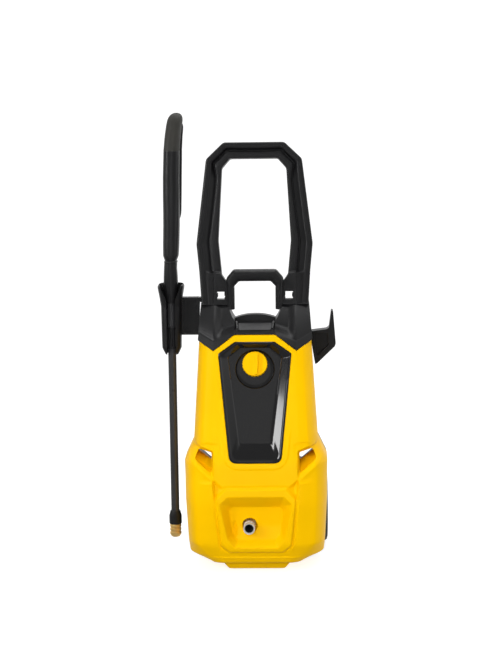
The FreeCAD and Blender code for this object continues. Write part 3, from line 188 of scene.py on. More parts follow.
# ---- softened edges on the plain pieces
EDGE_ANGLE, FLAT_ANGLE = math.radians(32), math.radians(1.2)


def soften(obj, width_mm):
    """Joins the flats of a faceted mesh, rounds its edges and weights its normals by face area."""
    weld = obj.modifiers.new("weld", "WELD")
    weld.merge_threshold = 0.02 * MM
    flats = obj.modifiers.new("flats", "DECIMATE")
    flats.decimate_type = "DISSOLVE"
    flats.angle_limit = FLAT_ANGLE
    bevel = obj.modifiers.new("bevel", "BEVEL")
    bevel.width = width_mm * MM
    bevel.segments = 2
    bevel.limit_method = "ANGLE"
    bevel.angle_limit = EDGE_ANGLE
    bevel.harden_normals = False
    bevel.use_clamp_overlap = True
    obj.data.shade_smooth()
    weights = obj.modifiers.new("weights", "WEIGHTED_NORMAL")
    weights.keep_sharp = False
    weights.weight = 80


EDGE_MM = {
    "rear_shell": 1.6, "wheel_carrier": 1.6, "power_knob": 0.8, "lance_collar": 0.5, "nozzle": 0.4,
    "lance_end_collar": 0.6, "water_inlet": 0.4, "hub_left": 0.9, "hub_right": 0.9, "hub_cap_left": 0.5,
    "hub_cap_right": 0.5, "tyre_left": 1.0, "tyre_right": 1.0, "trigger": 1.2, "trigger_lock": 0.5,
    "cable_gland": 0.6, "foot_pad": 0.5,
}
for node_name, edge_mm in EDGE_MM.items():
    soften(NODES[node_name], edge_mm)


# ---- shapes, in millimetres until they become meshes
def smooth(t):
    t = np.clip(t, 0, 1)
    return t * t * (3 - 2 * t)


def detail(quick, full):
    """The finer of two settings; the coarser one, quick, is not used."""
    return full


def table(rows, z):
    """The columns of a table after its first, at each height z."""
    rows = np.array(rows)
    return [np.interp(z, rows[:, 0], rows[:, k]) for k in range(1, rows.shape[1])]


def full_turn(count):
    return np.linspace(0, 2 * math.pi, count + 1)[:-1]


def circle(x, y, radius, count):
    turns = full_turn(count)
    return np.column_stack([x + radius * np.cos(turns), y + radius * np.sin(turns)])


def squared(turns, power):
    """Cosine and sine of a rounded square; a power of 1 makes it a circle."""
    cos, sin = np.cos(turns), np.sin(turns)
    return np.sign(cos) * np.abs(cos) ** power, np.sign(sin) * np.abs(sin) ** power


def at_depth(points, y):
    """Places in x and z, all at one depth."""
    return np.column_stack([points[:, 0], np.full(len(points), y), points[:, 1]])


def at_height(points, z):
    """Places in x and y, all at one height."""
    return np.column_stack([points, np.full(len(points), z)])


def run_along(path):
    """The distance walked along a path, at each of its points."""
    return np.concatenate([[0], np.cumsum(np.linalg.norm(np.diff(path, axis=0), axis=1))])


def in_steps(stations, spacing):
    """Rows between stations, about evenly spaced, with every station kept."""
    rows = []
    for a, b in zip(np.array(stations), np.array(stations[1:])):
        steps = max(2, int(math.hypot(b[0] - a[0], b[1] - a[1]) / spacing))
        rows += [a + (b - a) * k / steps for k in range(steps)]
    return np.array(rows + [stations[-1]])


def softened(path):
    """The path with each inner point drawn towards its two neighbours."""
    out = path.copy()
    out[1:-1] = 0.25 * path[:-2] + 0.5 * path[1:-1] + 0.25 * path[2:]
    return out


def flipped(points, sign):
    """An outline in x and z as it is, or on the other side when the sign is -1."""
    return [(sign * x, z) for x, z in points]


def both_sides(points):
    """A closed outline from its right half, top to bottom."""
    return list(points) + [(-x, z) for x, z in reversed(points)]


def rounded(points, radius, steps=6):
    """A closed outline with its corners turned into arcs."""
    pts = np.array(points, float)
    radii = radius if isinstance(radius, (list, tuple)) else [radius] * len(pts)
    out = []
    for i, corner in enumerate(pts):
        before, after = pts[i - 1] - corner, pts[(i + 1) % len(pts)] - corner
        len_b, len_a = np.linalg.norm(before), np.linalg.norm(after)
        before, after = before / len_b, after / len_a
        half = 0.5 * math.acos(float(np.clip(before @ after, -1, 1)))
        reach = min(radii[i] / max(math.tan(half), 0.001), 0.45 * len_b, 0.45 * len_a)
        if reach < 0.05:
            out.append(corner)
            continue
        start, end = corner + before * reach, corner + after * reach
        for k in range(steps + 1):
            t = k / steps
            out.append((1 - t) ** 2 * start + 2 * t * (1 - t) * corner + t ** 2 * end)
    return np.array(out)


def edge_distance(x, z, points, closed=True):
    """Distance from each place to an outline; negative inside a closed one."""
    pts = np.array(points, float)
    ends = np.roll(pts, -1, axis=0) if closed else pts[1:]
    starts = pts if closed else pts[:-1]
    best = np.full(np.shape(x), 1e9)
    inside = np.zeros(np.shape(x), bool)
    for (x0, z0), (x1, z1) in zip(starts, ends):
        dx, dz = x1 - x0, z1 - z0
        t = np.clip(((x - x0) * dx + (z - z0) * dz) / (dx * dx + dz * dz + 1e-12), 0, 1)
        best = np.minimum(best, np.hypot(x - x0 - t * dx, z - z0 - t * dz))
        if closed:
            crosses = ((z0 > z) != (z1 > z)) & (x < (x1 - x0) * (z - z0) / (z1 - z0 + 1e-12) + x0)
            inside ^= crosses
    return np.where(inside, -best, best)


def build(name, verts, faces):
    """A mesh object from millimetre vertices."""
    mesh = bpy.data.meshes.new(name)
    mesh.from_pydata((np.asarray(verts, float) * MM).tolist(), [], [list(map(int, f)) for f in faces])
    mesh.validate()
    obj = bpy.data.objects.new(name, mesh)
    bpy.context.scene.collection.objects.link(obj)
    return obj


def fix_normals(obj, weld_mm=None):
    """Turns every face outwards, once points closer than the weld distance are joined."""
    bm = bmesh.new()
    bm.from_mesh(obj.data)
    if weld_mm is not None:
        bmesh.ops.remove_doubles(bm, verts=bm.verts, dist=weld_mm * MM)
    bmesh.ops.recalc_face_normals(bm, faces=bm.faces)
    bm.to_mesh(obj.data)
    bm.free()


def finish_piece(obj, slot, body, nodes):
    """Welds a piece, dresses it and fixes it to its body, in place of the named nodes."""
    fix_normals(obj, 0.01)
    dress(obj, slot)
    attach(obj, body)
    if nodes:
        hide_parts(*nodes)


def finish_smooth(obj, slot, body, nodes, sharp):
    """Finishes a smooth piece whose edges stay crisp where they turn by more than `sharp` degrees."""
    obj.data.shade_smooth()
    finish_piece(obj, slot, body, nodes)
    obj.data.set_sharp_from_angle(angle=math.radians(sharp))


def tube_faces(rings, count, closed_ends=True, closed_path=False):
    """Faces of a surface with `rings` loops of `count` points each."""
    faces = []
    for r in range(rings if closed_path else rings - 1):
        near, far = r * count, (r + 1) % rings * count
        for k in range(count):
            after = (k + 1) % count
            faces.append((near + k, near + after, far + after, far + k))
    if closed_ends and not closed_path:
        faces.append(tuple(range(count))[::-1])
        faces.append(tuple((rings - 1) * count + k for k in range(count)))
    return faces


def prism(name, outline, y0, y1):
    """An upright outline in x and z, from one depth to another."""
    pts = np.array(outline, float)
    return build(name, np.vstack([at_depth(pts, y0), at_depth(pts, y1)]), tube_faces(2, len(pts)))


def bar(name, outline, z0, z1):
    """A level outline in x and y, from one height to another."""
    pts = np.array(outline, float)
    return build(name, np.vstack([at_height(pts, z0), at_height(pts, z1)]), tube_faces(2, len(pts)))


def carve(obj, cutter, operation="DIFFERENCE"):
    """Cuts one solid with another, or joins them, and drops the second."""
    fix_normals(obj)
    fix_normals(cutter)
    step = obj.modifiers.new("carve", "BOOLEAN")
    step.operation, step.solver, step.object = operation, "EXACT", cutter
    bpy.context.view_layer.update()
    made = bpy.data.meshes.new_from_object(obj.evaluated_get(bpy.context.evaluated_depsgraph_get()))
    obj.modifiers.clear()
    obj.data = made
    bpy.data.objects.remove(cutter)


def lean_point(y, z, y0, z0, angle):
    """Tips a place backwards about a level line through y0, z0."""
    dy, dz = y - y0, z - z0
    return y0 + dy * math.cos(angle) + dz * math.sin(angle), z0 - dy * math.sin(angle) + dz * math.cos(angle)


def blur(values, sigma, spacing):
    """Rounds the corners of an evenly spaced row of numbers."""
    reach = max(1, int(3 * sigma / spacing))
    kernel = np.exp(-0.5 * (np.arange(-reach, reach + 1) * spacing / sigma) ** 2)
    kernel /= kernel.sum()
    lead = 2 * values[0] - values[1:reach + 1][::-1]
    tail = 2 * values[-1] - values[-reach - 1:-1][::-1]
    return np.convolve(np.concatenate([lead, values, tail]), kernel, "valid")


# ---- yellow front casing
SPLIT_Y, TOP_Z, BOTTOM_Z = 52.0, 484.0, 19.5
CASING = [
    # z, half width, side corner y, crease x, front y
    (TOP_Z, 114, 30, 80, -4), (268, 127.2, 2, 86, -58), (228, 146, -12, 88, -68),
    (196, 145.2, -14, 85, -70.5), (150, 145, -16, 81, -74), (62, 140.5, -14, 72, -68),
    (36, 138, -8, 70, -58), (BOTTOM_Z, 101, -2, 66, -46),
]
PANEL_SLOPE, PANEL_Y, PANEL_Z = 0.25, -68.0, 228.0
PANEL_LEAN = math.atan(PANEL_SLOPE)
PANEL_OUT = [(40, 470), (74, 447), (52, 232)]
PANEL_RADII = [6, 6, 17, 17, 6, 6]
PANEL_FLOOR = [(30, 459), (54, 441), (32, 268)]
WINDOW = [(115, 256.5), (122.5, 239), (89, 210), (89, 250)]
WINDOW_SLEEVE = [(118, 259), (126, 237), (86, 202), (86, 253)]
POCKET_RIM = [(61, 180), (83, 158), (71, 62), (54, 46)]
POCKET_TOP = [(57, 164), (73, 149), (58, 76), (44, 57)]
POCKET_FLOOR = [(50, 138), (55, 132), (49, 80), (38, 70)]
POCKET_DEPTH = 24.0
FENDER_TOP = [(150, 247), (138, 240), (84, 194)]
CREASE = [(84, 194), (81.5, 158), (77, 105), (71, 52)]
FACET = [(90, 206), (63, 181), (83, 157)]
SHOULDER_NOTCH = [(41, 530), (41, TOP_Z), (84, 452), (116, 470), (150, 470), (150, 530)]
FENDER_X, BROW_R = 84.0, 3.5
DENT_DEPTH, CREASE_DEPTH, NICK_DEPTH, FACET_DEPTH = 17.0, 3.2, 4.5, 6.5
BEAD_HEIGHT, FRAME_HEIGHT = 1.6, 3.8
OUTLET_X, OUTLET_Z = -14.0, 98.0


def relief(x, z):
    """How deep each place of the casing's front lies behind its plain surface."""
    side = np.abs(x)
    depth = np.zeros_like(x)

    # the dent above each fender, round the window
    to_fender = edge_distance(side, z, FENDER_TOP, closed=False)
    fender_z = np.interp(side, *np.array(FENDER_TOP)[::-1].T)
    above = np.where((side > FENDER_X) & (z > fender_z), to_fender, 0)
    lid = np.interp(side, [84, 118, 150], [251, 263, 274])
    depth += DENT_DEPTH * smooth(above / 24) * smooth((side - 85) / 3) * smooth((lid + 5 - z) / 9)

    # the crease between fender and middle, and the fender's proud edge
    to_crease = edge_distance(side, z, CREASE, closed=False)
    crease_x = np.interp(z, *np.array(CREASE)[::-1, ::-1].T)
    along = smooth((z - 44) / 14) * smooth((198 - z) / 8)
    strength = 0.45 + 0.55 * smooth((z - 90) / 90)
    depth += CREASE_DEPTH * strength * along * np.exp(-(to_crease / 1.7) ** 2)
    proud = smooth((side - crease_x - 0.5) / 3) * smooth((122 - side) / 34)
    depth -= (1 + 3 * smooth((z - 70) / 110)) * proud * along

    # the soft bead along the fender's upper edge
    depth -= BEAD_HEIGHT * np.exp(-(to_fender / 4.5) ** 2) * smooth((side - FENDER_X) / 6)

    # pocket frame, pocket and its corner facets
    rim = edge_distance(side, z, rounded(both_sides(POCKET_RIM), 5))
    depth -= FRAME_HEIGHT * smooth(0.5 - rim / 5)
    depth += 1.6 * np.exp(-((rim - 3) / 2) ** 2) * smooth((z - 40) / 10)
    top = edge_distance(side, z, rounded(both_sides(POCKET_TOP), 3.5))
    floor = edge_distance(side, z, rounded(both_sides(POCKET_FLOOR), 3))
    inward, outward = np.clip(-top, 0, None), np.clip(floor, 0, None)
    t = np.where(top < 0, inward / (inward + outward + 1e-9), 0)
    wall = np.clip(t * 1.04 - 0.02, 0, 1)
    rise = 11 * smooth((104 - z) / 52)
    depth += (POCKET_DEPTH - rise) * wall
    depth += 1.3 * smooth(0.5 - top / 3) * (1 - wall)
    nick = np.exp(-((x + 44.5) / 3.4) ** 2) * smooth((z - 74) / 7) * smooth((112 - z) / 16)
    depth += NICK_DEPTH * nick
    facet = edge_distance(side, z, FACET)
    depth += FACET_DEPTH * smooth(-facet / 8.5)

    # the raised edge round the panel's lower end
    panel = edge_distance(side, z, rounded(both_sides(PANEL_OUT), [6, 6, 22, 22, 6, 6]))
    fade = smooth((312 - z) / 55)
    depth -= 1.5 * smooth(0.5 - (panel - 12.5) / 2.6) * fade

    # waist creases and the steps of the foot
    waist = np.interp(side, [78, 100, 122], [270, 271.5, 266])
    ends = smooth((side - 74) / 10) * smooth((124 - side) / 14)
    depth += 2.2 * ends * smooth(0.5 - (z - waist) / 2.6) * smooth((z - 240) / 26)
    depth -= 2.2 * smooth(0.5 - (z - 34) / 2.4) * smooth((108 - side) / 30)
    depth -= 1.1 * smooth(0.5 - (z - 26.5) / 2) * smooth((90 - side) / 20)
    return depth


def casing_skin():
    """The outside of the casing: a grid that runs from side to side and from the bottom to the top."""
    step = detail(3.2, 1.6)
    z = np.arange(BOTTOM_Z, TOP_Z + 0.01, step)
    z[-1] = TOP_Z
    half, side_y, crease, front = table(CASING[::-1], z)
    half = blur(half, 1.6, step)
    side_y, crease, front = (blur(v, 5, step) for v in (side_y, crease, front))
    cheek_x = np.interp(z, [14, 62, 150, 228, 268, TOP_Z], [80, 117, 121, 121, 106, 92])
    tilt = np.interp(z, [14, 62, 228, 268, TOP_Z], [5, 6, 6, 5, 4])
    columns = (half, side_y, crease, front, cheek_x, tilt)
    half, side_y, crease, front, cheek_x, tilt = (v[:, None] for v in columns)

    middle = np.linspace(0, 1, int(80 / step) + 1)
    cheek = np.linspace(0, 1, int(40 / step) + 1)[1:]
    corner = np.linspace(0, 1, int(52 / step) + 1)[1:]
    flank = np.linspace(0, 1, 12)[1:]
    swing_x = 0.35 * corner + 0.65 * np.sin(0.5 * math.pi * corner)
    swing_y = 0.35 * corner + 0.65 * (1 - np.cos(0.5 * math.pi * corner))
    x = np.hstack([crease * middle, crease + (cheek_x - crease) * cheek,
                   cheek_x + (half - cheek_x) * swing_x, half * np.ones_like(flank)])
    y = np.hstack([front * np.ones_like(middle), front + tilt * cheek ** 1.3,
                   front + tilt + (side_y - front - tilt) * swing_y, side_y + (SPLIT_Y - side_y) * flank])
    end = x.shape[1] - 6  # the last columns stay straight up to the split
    for _ in range(detail(2, 5)):
        for grid in (x, y):
            grid[:, 1:end] = 0.25 * grid[:, :end - 1] + 0.5 * grid[:, 1:end] + 0.25 * grid[:, 2:end + 1]
    x = np.hstack([-x[:, :0:-1], x])
    y = np.hstack([y[:, :0:-1], y])
    height = np.repeat(z[:, None], x.shape[1], axis=1)
    fronting = smooth((SPLIT_Y - 22 - y) / 26)
    y = y + relief(x, height) * fronting

    # the rounded brow along the top edge
    brow = np.clip((height - (TOP_Z - BROW_R)) / BROW_R, 0, 1)
    y += BROW_R * (1 - np.sqrt(1 - brow ** 2 * 0.98)) * fronting
    verts = np.column_stack([x.ravel(), y.ravel(), height.ravel()])
    return build("front_casing", verts, tube_faces(len(z), x.shape[1]))


def cut_window(shell, sign):
    """One slanted side window, with a ramp left standing on its sill."""
    window = prism("window", rounded(flipped(WINDOW, sign), 4), -100, 60)
    ramp = []
    for x, near, sill, lift in ((83, -62, 205, 21.5), (128, -34, 243.5, 11)):
        far, low = near + 35, sill - 9
        section = [(near, sill), (near + 33, sill + lift), (far, sill), (far, low), (near, low)]
        ramp += [(sign * x, y, z) for y, z in section]
    carve(window, build("ramp", ramp, tube_faces(2, 5)))
    carve(shell, window)


def casing_foot():
    """The foot plate, drawn in towards the ground, with a shallow well underneath."""
    rings = []
    for half, y0, y1, z in ((58.5, -26.5, 28.5, 1), (60, -28, 30, 2.5), (66.5, -34.5, 34.5, 12),
                            (68, -36, 36, 25)):
        rings.append(at_height(rounded(both_sides([(half, y0), (half, y1)]), 8), z))
    foot = build("foot", np.vstack(rings), tube_faces(len(rings), len(rings[0])))
    carve(foot, bar("foot_well", rounded(both_sides([(55, -23), (55, 25)]), 6), -2, 12))
    return foot


def front_casing():
    shell = casing_skin()
    carve(shell, casing_hollow())
    for sign in (-1, 1):
        cut_window(shell, sign)
    for sign in (-1, 1):
        carve(shell, prism("notch", flipped(SHOULDER_NOTCH, sign), -30, 60))
    seat = [(-41.5, 480.5), (41.5, 480.5), (41.5, 490), (-41.5, 490)]
    carve(shell, prism("cap_seat", seat, 14, 60))
    carve(shell, prism("outlet_hole", circle(OUTLET_X + 1, OUTLET_Z + 1.6, 15.2, 48), -70, -20))
    carve(shell, panel_prism("panel_hole", 0.3, -8, 34))
    carve(shell, casing_foot(), "UNION")
    finish_smooth(shell, "yellow", "chassis", ["front_shell"], 42)
    weights = shell.modifiers.new("weights", "WEIGHTED_NORMAL")
    weights.weight = 60


def casing_hollow():
    """The space inside the casing, kept clear of the pocket and of the window sleeves."""
    rings = []
    for z, half, side_y, _, front in CASING:
        wide, narrow = half - (5 if z > BOTTOM_Z else 8), half - 62
        right = [(narrow, front + 12), (wide, side_y + 16), (wide, SPLIT_Y + 6)]
        plan = flipped(right[::-1], -1) + right
        rings.append(at_height(np.array(plan), min(max(z, 26), TOP_Z - 4)))
    hollow = build("hollow", np.vstack(rings), tube_faces(len(CASING), 6))
    carve(hollow, prism("pocket_back", both_sides([(90, 186), (90, 44)]), -90, -44))
    for sign in (-1, 1):
        carve(hollow, prism("sleeve", flipped(WINDOW_SLEEVE, sign), -100, SPLIT_Y + 10))
        around = flipped([(134, 274), (146, 238), (82, 190), (82, 258)], sign)
        carve(hollow, prism("around", around, -100, -26))
    carve(hollow, panel_prism("panel_room", 4, -20, 4))
    return hollow


def panel_outline(points, grow):
    """The panel's whole outline, grown on every side, in the upright frame that leans back later."""
    mid = sum(z for _, z in points) / len(points)
    stretch = 1.0 / math.cos(PANEL_LEAN)
    grown = [(x + grow, z + (grow if z > mid else -grow)) for x, z in points]
    return both_sides([(x, PANEL_Z + (z - PANEL_Z) * stretch) for x, z in grown])


def on_panel(verts):
    """Tips places from the upright panel frame back to the leaning front."""
    verts = np.array(verts, float)
    y, z = lean_point(PANEL_Y + verts[:, 1], verts[:, 2], PANEL_Y, PANEL_Z, PANEL_LEAN)
    return np.column_stack([verts[:, 0], y, z])


def panel_prism(name, grow, y0, y1):
    pts = rounded(panel_outline(PANEL_OUT, grow), PANEL_RADII, 8)
    return build(name, on_panel(np.vstack([at_depth(pts, y0), at_depth(pts, y1)])), tube_faces(2, len(pts)))


# ---- glossy control panel
KNOB_Z = 417.0  # the dish's centre; the shaft's hole lies SHAFT_RISE above it
SHAFT_RISE, DISH_MIDDLE_R = 10.0, 21.0


def cross_outline(angles, centre, outline):
    """Where rays from a centre meet a closed outline."""
    pts = np.array(outline)
    edge, start = np.roll(pts, -1, axis=0) - pts, pts - centre
    out = []
    for a in angles:
        ray = np.array([math.cos(a), math.sin(a)])
        spread = ray[1] * edge[:, 0] - ray[0] * edge[:, 1]
        spread = np.where(np.abs(spread) < 1e-9, 1e-9, spread)
        reach = (start[:, 1] * edge[:, 0] - start[:, 0] * edge[:, 1]) / spread
        along = (ray[0] * start[:, 1] - ray[1] * start[:, 0]) / spread
        met = (along >= -1e-6) & (along <= 1 + 1e-6) & (reach > 0)
        out.append(centre + ray * reach[met].max())
    return np.array(out)


def control_panel():
    """A rim, sloping walls, a sunk face and a dish round the knob, laid out as rings about the dish."""
    stretch = 1 / math.cos(PANEL_LEAN)
    centre = np.array([0, PANEL_Z + (KNOB_Z - PANEL_Z) * stretch])
    outer = rounded(panel_outline(PANEL_OUT, 0), PANEL_RADII, 10)
    walk = np.vstack([outer, outer[:1]])
    run = run_along(walk)
    stations = np.linspace(0, run[-1], detail(220, 420))[:-1]
    rim = np.column_stack([np.interp(stations, run, walk[:, k]) for k in (0, 1)])
    angles = np.arctan2(rim[:, 1] - centre[1], rim[:, 0] - centre[0])

    def inset(depth):
        return cross_outline(angles, centre, rounded(panel_outline(PANEL_OUT, -depth), PANEL_RADII, 10))

    def dish(radius):
        return centre + radius * np.column_stack([np.cos(angles), np.sin(angles)])

    def blend(a, b, t):
        return a * (1 - t) + b * t

    lip = inset(5.2)
    face = cross_outline(angles, centre, rounded(panel_outline(PANEL_FLOOR, 0), 5, 8))
    rings = [(rim, 15), (rim, 0)]
    rings += [(inset(d), y) for d, y in ((0.4, -0.9), (1.4, -1.5), (3, -1.5), (4.2, -0.9))]
    rings.append((lip, 0))
    rings += [(blend(lip, face, t), 8.6 * t) for t in np.linspace(0.06, 0.94, 9)]
    rings.append((blend(lip, face, 0.99), 8.9))
    rings += [(blend(face, dish(40.5), t), 9.2) for t in (0.04, 0.3, 0.6, 0.9)]
    rings += [(dish(r), y) for r, y in ((40, 9.3), (39.2, 9.9), (38.4, 11.2), (37.6, 12.4), (36, 13),
                                        (31, 13.3), (20, 13.3), (4.5, 13.3), (4.5, 15))]
    verts = np.vstack([at_depth(ring, y) for ring, y in rings])
    from_centre = np.hypot(verts[:, 0], verts[:, 2] - centre[1])
    near = from_centre < DISH_MIDDLE_R
    verts[near, 2] += SHAFT_RISE * stretch * (1 - from_centre[near] / DISH_MIDDLE_R)
    panel = build("panel", on_panel(verts), tube_faces(len(rings), len(angles), closed_path=True))
    finish_smooth(panel, "gloss_black", "chassis", ["control_panel"], 28)


# ---- push handle
HANDLE_SLOPE, HANDLE_Y, HANDLE_Z, HANDLE_MID, HANDLE_DEPTH = 0.13, 50.0, 540.0, 18.0, 37.0
HANDLE_LEAN = math.atan(HANDLE_SLOPE)
HANDLE_STATIONS = [
    # outer x, z, inner x, z, channel
    (0, 868, 0, 835.5, 1), (62.5, 868, 49, 835.5, 1), (98.5, 834, 66, 816, 1),
    (119.5, 662, 74.5, 669, 1), (114.2, 608, 68.5, 606, 1), (113.9, 604, 68, 601, 0),
    (113.6, 598, 67.6, 597.5, 0), (113.2, 592.5, 84, 592.5, 0), (109.8, 538, 84, 538, 0),
]


def handle_path():
    """Outer and inner edges of the U with how open its channel is, from the left foot round to the right."""
    right = in_steps(HANDLE_STATIONS, detail(6.0, 3.0))
    path = np.vstack([right[:0:-1] * np.array([-1, 1, -1, 1, 1]), right])
    upper = path[:, 1] > 640.0
    for _ in range(2):
        path[upper] = softened(path)[upper]
    return path


def handle_front_section(width, opened, across):
    """Rim, channel, flange and step, from the outer edge to the inner; `across` is 1 along the top bar."""
    rib = 13 - 1.5 * across
    wall = min(rib + 11.5 - 9 * across, width - 8)
    flange = min(wall + 4 + 2 * across, width - 4)
    deep, step_up = (11.5 + 4 * across) * opened, (6.5 - 2.5 * across) * opened
    return [(0, HANDLE_MID), (0, 4), (0.5, 1.8), (1.8, 0.5), (4, 0), (rib - 1, 0.2),
            (rib + 0.3, 0.8), (rib + 1.6, 2.2 * opened + 0.2), (wall, deep - 0.6 * opened),
            (wall + 0.8, deep), (flange - 0.8, deep), (flange - 0.2, deep - 0.5 * opened),
            (flange + 0.3, step_up + 0.4 * opened), (flange + 1.2, step_up),
            (width - 2.2, step_up - 0.6 * opened), (width - 0.7, step_up + 0.3), (width, step_up + 2.2),
            (width, HANDLE_MID)]


def handle_back_section(width):
    far = HANDLE_DEPTH
    return [(width, HANDLE_MID), (width, far - 5), (width - 1.2, far - 2.2), (width - 4, far - 0.8),
            (width * 0.66, far), (width * 0.34, far), (4, far - 0.8), (1.2, far - 2.2), (0, far - 5),
            (0, HANDLE_MID)]


def handle_half(name, front):
    path = handle_path()
    verts = []
    for outer_x, outer_z, inner_x, inner_z, opened in path:
        width = math.hypot(outer_x - inner_x, outer_z - inner_z)
        across = smooth((outer_z - 800) / 45)
        section = handle_front_section(width, opened, across) if front else handle_back_section(width)
        for reach, depth in section:
            f = reach / width
            x, z = outer_x + (inner_x - outer_x) * f, outer_z + (inner_z - outer_z) * f
            z = HANDLE_Z + (z - HANDLE_Z) / math.cos(HANDLE_LEAN)
            verts.append((x, *lean_point(HANDLE_Y + depth, z, HANDLE_Y, HANDLE_Z, HANDLE_LEAN)))
    half = build(name, verts, tube_faces(len(path), len(section)))
    finish_smooth(half, "black_plastic", "chassis", ["handle_front" if front else "handle_back"], 50)


# ---- gun
GUN_X, GUN_SPLIT_Z = -173.0, 853.0
GUN_TOP_Z, GUN_FOOT_Z = 929.0, 541.0
BARREL_Y, BARREL_R = 62.0, 8.7
GUN = [
    # z, half width, front y, back y, lean towards the machine
    (GUN_FOOT_Z, 9.4, 53, 71, 0), (556, 12, 51, 74, 0), (576, 15, 48, 78, 0),
    (596, 14.4, 45, 81.5, 0), (615, 13.4, 43.6, 84.5, 0), (632, 13.2, 43.2, 86.5, 1),
    (639, 15.9, 41, 89.5, 1.2), (660, 16.6, 40, 92.5, 2), (700, 16.8, 39, 97, 3.4),
    (725, 16.8, 39.2, 91, 4), (758, 16.8, 39.8, 79.5, 4.5), (800, 16.6, 42, 78, 5),
    (GUN_SPLIT_Z, 16.4, 46, 84, 6.6), (880, 16.2, 50.4, 91, 8.8), (900, 15.9, 55, 95.5, 11.4),
    (915, 15, 60.4, 98, 14), (924, 12.6, 66, 96, 15.6), (GUN_TOP_Z, 7, 72, 88, 16.4),
]


def gun_tube(name, z0, z1, sign):
    """A length of the gun with a rounded section; sign 0 is whole, -1 and 1 are its halves."""
    z = np.linspace(z0, z1, max(8, int((z1 - z0) / detail(4, 1.6))))
    half, front, back, lean = (blur(v, 1.8, z[1] - z[0]) for v in table(GUN, z))
    if z1 == GUN_TOP_Z:
        cap = np.clip((z - 904) / 25.2, 0, 1)
        shrink = np.sqrt(1 - 0.97 * cap ** 3.2)
        middle = np.interp(z, [GUN_SPLIT_Z, 905, GUN_TOP_Z], [65, 76, 81.5])
        depth = np.interp(z, [GUN_SPLIT_Z, GUN_TOP_Z], [19.3, 20.5])
        half = np.interp(z, [GUN_SPLIT_Z, 904], [16.4, 16]) * shrink
        front, back = middle - depth * shrink, middle + depth * shrink
    groove = 0.9 * (np.exp(-((z - 630) / 1.3) ** 2) - 0.9 * np.exp(-((z - 626.8) / 1.2) ** 2))
    if sign == 0:
        turns = np.linspace(-0.5 * math.pi, 1.5 * math.pi, 57)[:-1]
    else:
        turns = np.linspace(-0.5 * math.pi, 0.5 * math.pi, 29)
    across, along = squared(turns, 2 / 2.7)
    seam = 0.7 * np.exp(-(np.abs(across) / 0.035) ** 2)
    rings = []
    for k, height in enumerate(z):
        mid, deep = (front[k] + back[k]) / 2, (back[k] - front[k]) / 2 - groove[k]
        x = GUN_X + lean[k] + across * (half[k] - groove[k]) * (sign or 1)
        rings.append(at_height(np.column_stack([x, mid + along * (deep - seam)]), height))
    return build(name, np.vstack(rings), tube_faces(len(z), len(turns)))


def gun_guard():
    """The loop that guards the trigger, as a tube of rounded section along its path."""
    path = np.array([(86, 694), (106, 704), (120, 722), (131, 762), (137.5, 800), (137.5, 842), (126, 890),
                     (112, 908), (92, 914)])
    run = run_along(path)
    s = np.linspace(0, run[-1], detail(30, 70))
    y, z = (blur(np.interp(s, run, path[:, k]), 9, s[1] - s[0]) for k in (0, 1))
    ahead_y, ahead_z = np.gradient(y), np.gradient(z)
    length = np.hypot(ahead_y, ahead_z)
    out_y, out_z = -ahead_z / length, ahead_y / length
    x = GUN_X + 8.5 * smooth((y - 96) / 24) + table(GUN, z)[3]
    across, out = squared(full_turn(20), 0.75)
    rings = [np.column_stack([x[k] + 8.2 * across, y[k] + out_y[k] * 5 * out, z[k] + out_z[k] * 5 * out])
             for k in range(len(s))]
    return build("guard", np.vstack(rings), tube_faces(len(s), 20))


def gun_half(sign, node):
    """One hard half of the gun, with its side of the loop, the trigger's slot and the bore for the lance."""
    half = gun_tube(node + "_form", GUN_FOOT_Z, GUN_SPLIT_Z - 0.2, sign)
    guard = gun_guard()
    x0, x1 = sorted((GUN_X + 0.05 * sign, GUN_X + 30 * sign))
    side = [(x0, 600), (x1, 600), (x1, GUN_SPLIT_Z), (x1, 960), (x0, 960)]
    carve(guard, prism("side", side, 0, 200), "INTERSECT")
    above = [(GUN_X - 40, 0), (GUN_X + 40, 0), (GUN_X + 40, 94.5), (GUN_X - 40, 94.5)]
    carve(guard, bar("above", above, GUN_SPLIT_Z, 960))
    carve(half, guard, "UNION")
    slot = [(GUN_X - 6.6, 706), (GUN_X + 6.6, 706), (GUN_X + 6.6, 884), (GUN_X - 6.6, 884)]
    carve(half, prism("trigger_slot", slot, 72, 128))
    carve(half, bar("bore", circle(GUN_X, BARREL_Y, BARREL_R, 32), 530, 601))
    finish_smooth(half, "black_plastic", "gun", [node], 48)


def gun():
    for sign, node in ((-1, "gun_half_left"), (1, "gun_half_right")):
        gun_half(sign, node)
    grip = gun_tube("grip_form", GUN_SPLIT_Z, GUN_TOP_Z, 0)
    finish_smooth(grip, "soft_grip", "gun", ["soft_grip"], 48)

    # the inlet follows the grip's bend and ends just under its rim
    low, high = 830, 926.5
    levels = np.linspace(low, high, 14)
    rings = []
    for radius, heights in ((7, levels), (4.6, levels[::-1])):
        for z in heights:
            x, y = GUN_X + table(GUN, z)[3], np.interp(z, [low, high], [63.9, 82.4])
            rings.append(at_height(circle(x, y, radius, 32), z))
    inlet = build("inlet", np.vstack(rings), tube_faces(len(rings), 32, closed_path=True))
    finish_smooth(inlet, "brass", "gun", ["gun_inlet"], 48)


# ---- shoulders, carrying grip and cap
def relief_block(name, x, y, z, axis, base):
    """A block with a grid of places for its skin and a flat back at `base` along axis 1, y, or 2, z."""
    rows = []
    for line in np.stack([x, y, z], axis=2):
        ends = line[[-1, 0]].copy()
        ends[:, axis] = base
        rows += [line, ends]
    return build(name, np.vstack(rows), tube_faces(len(x), x.shape[1] + 2))


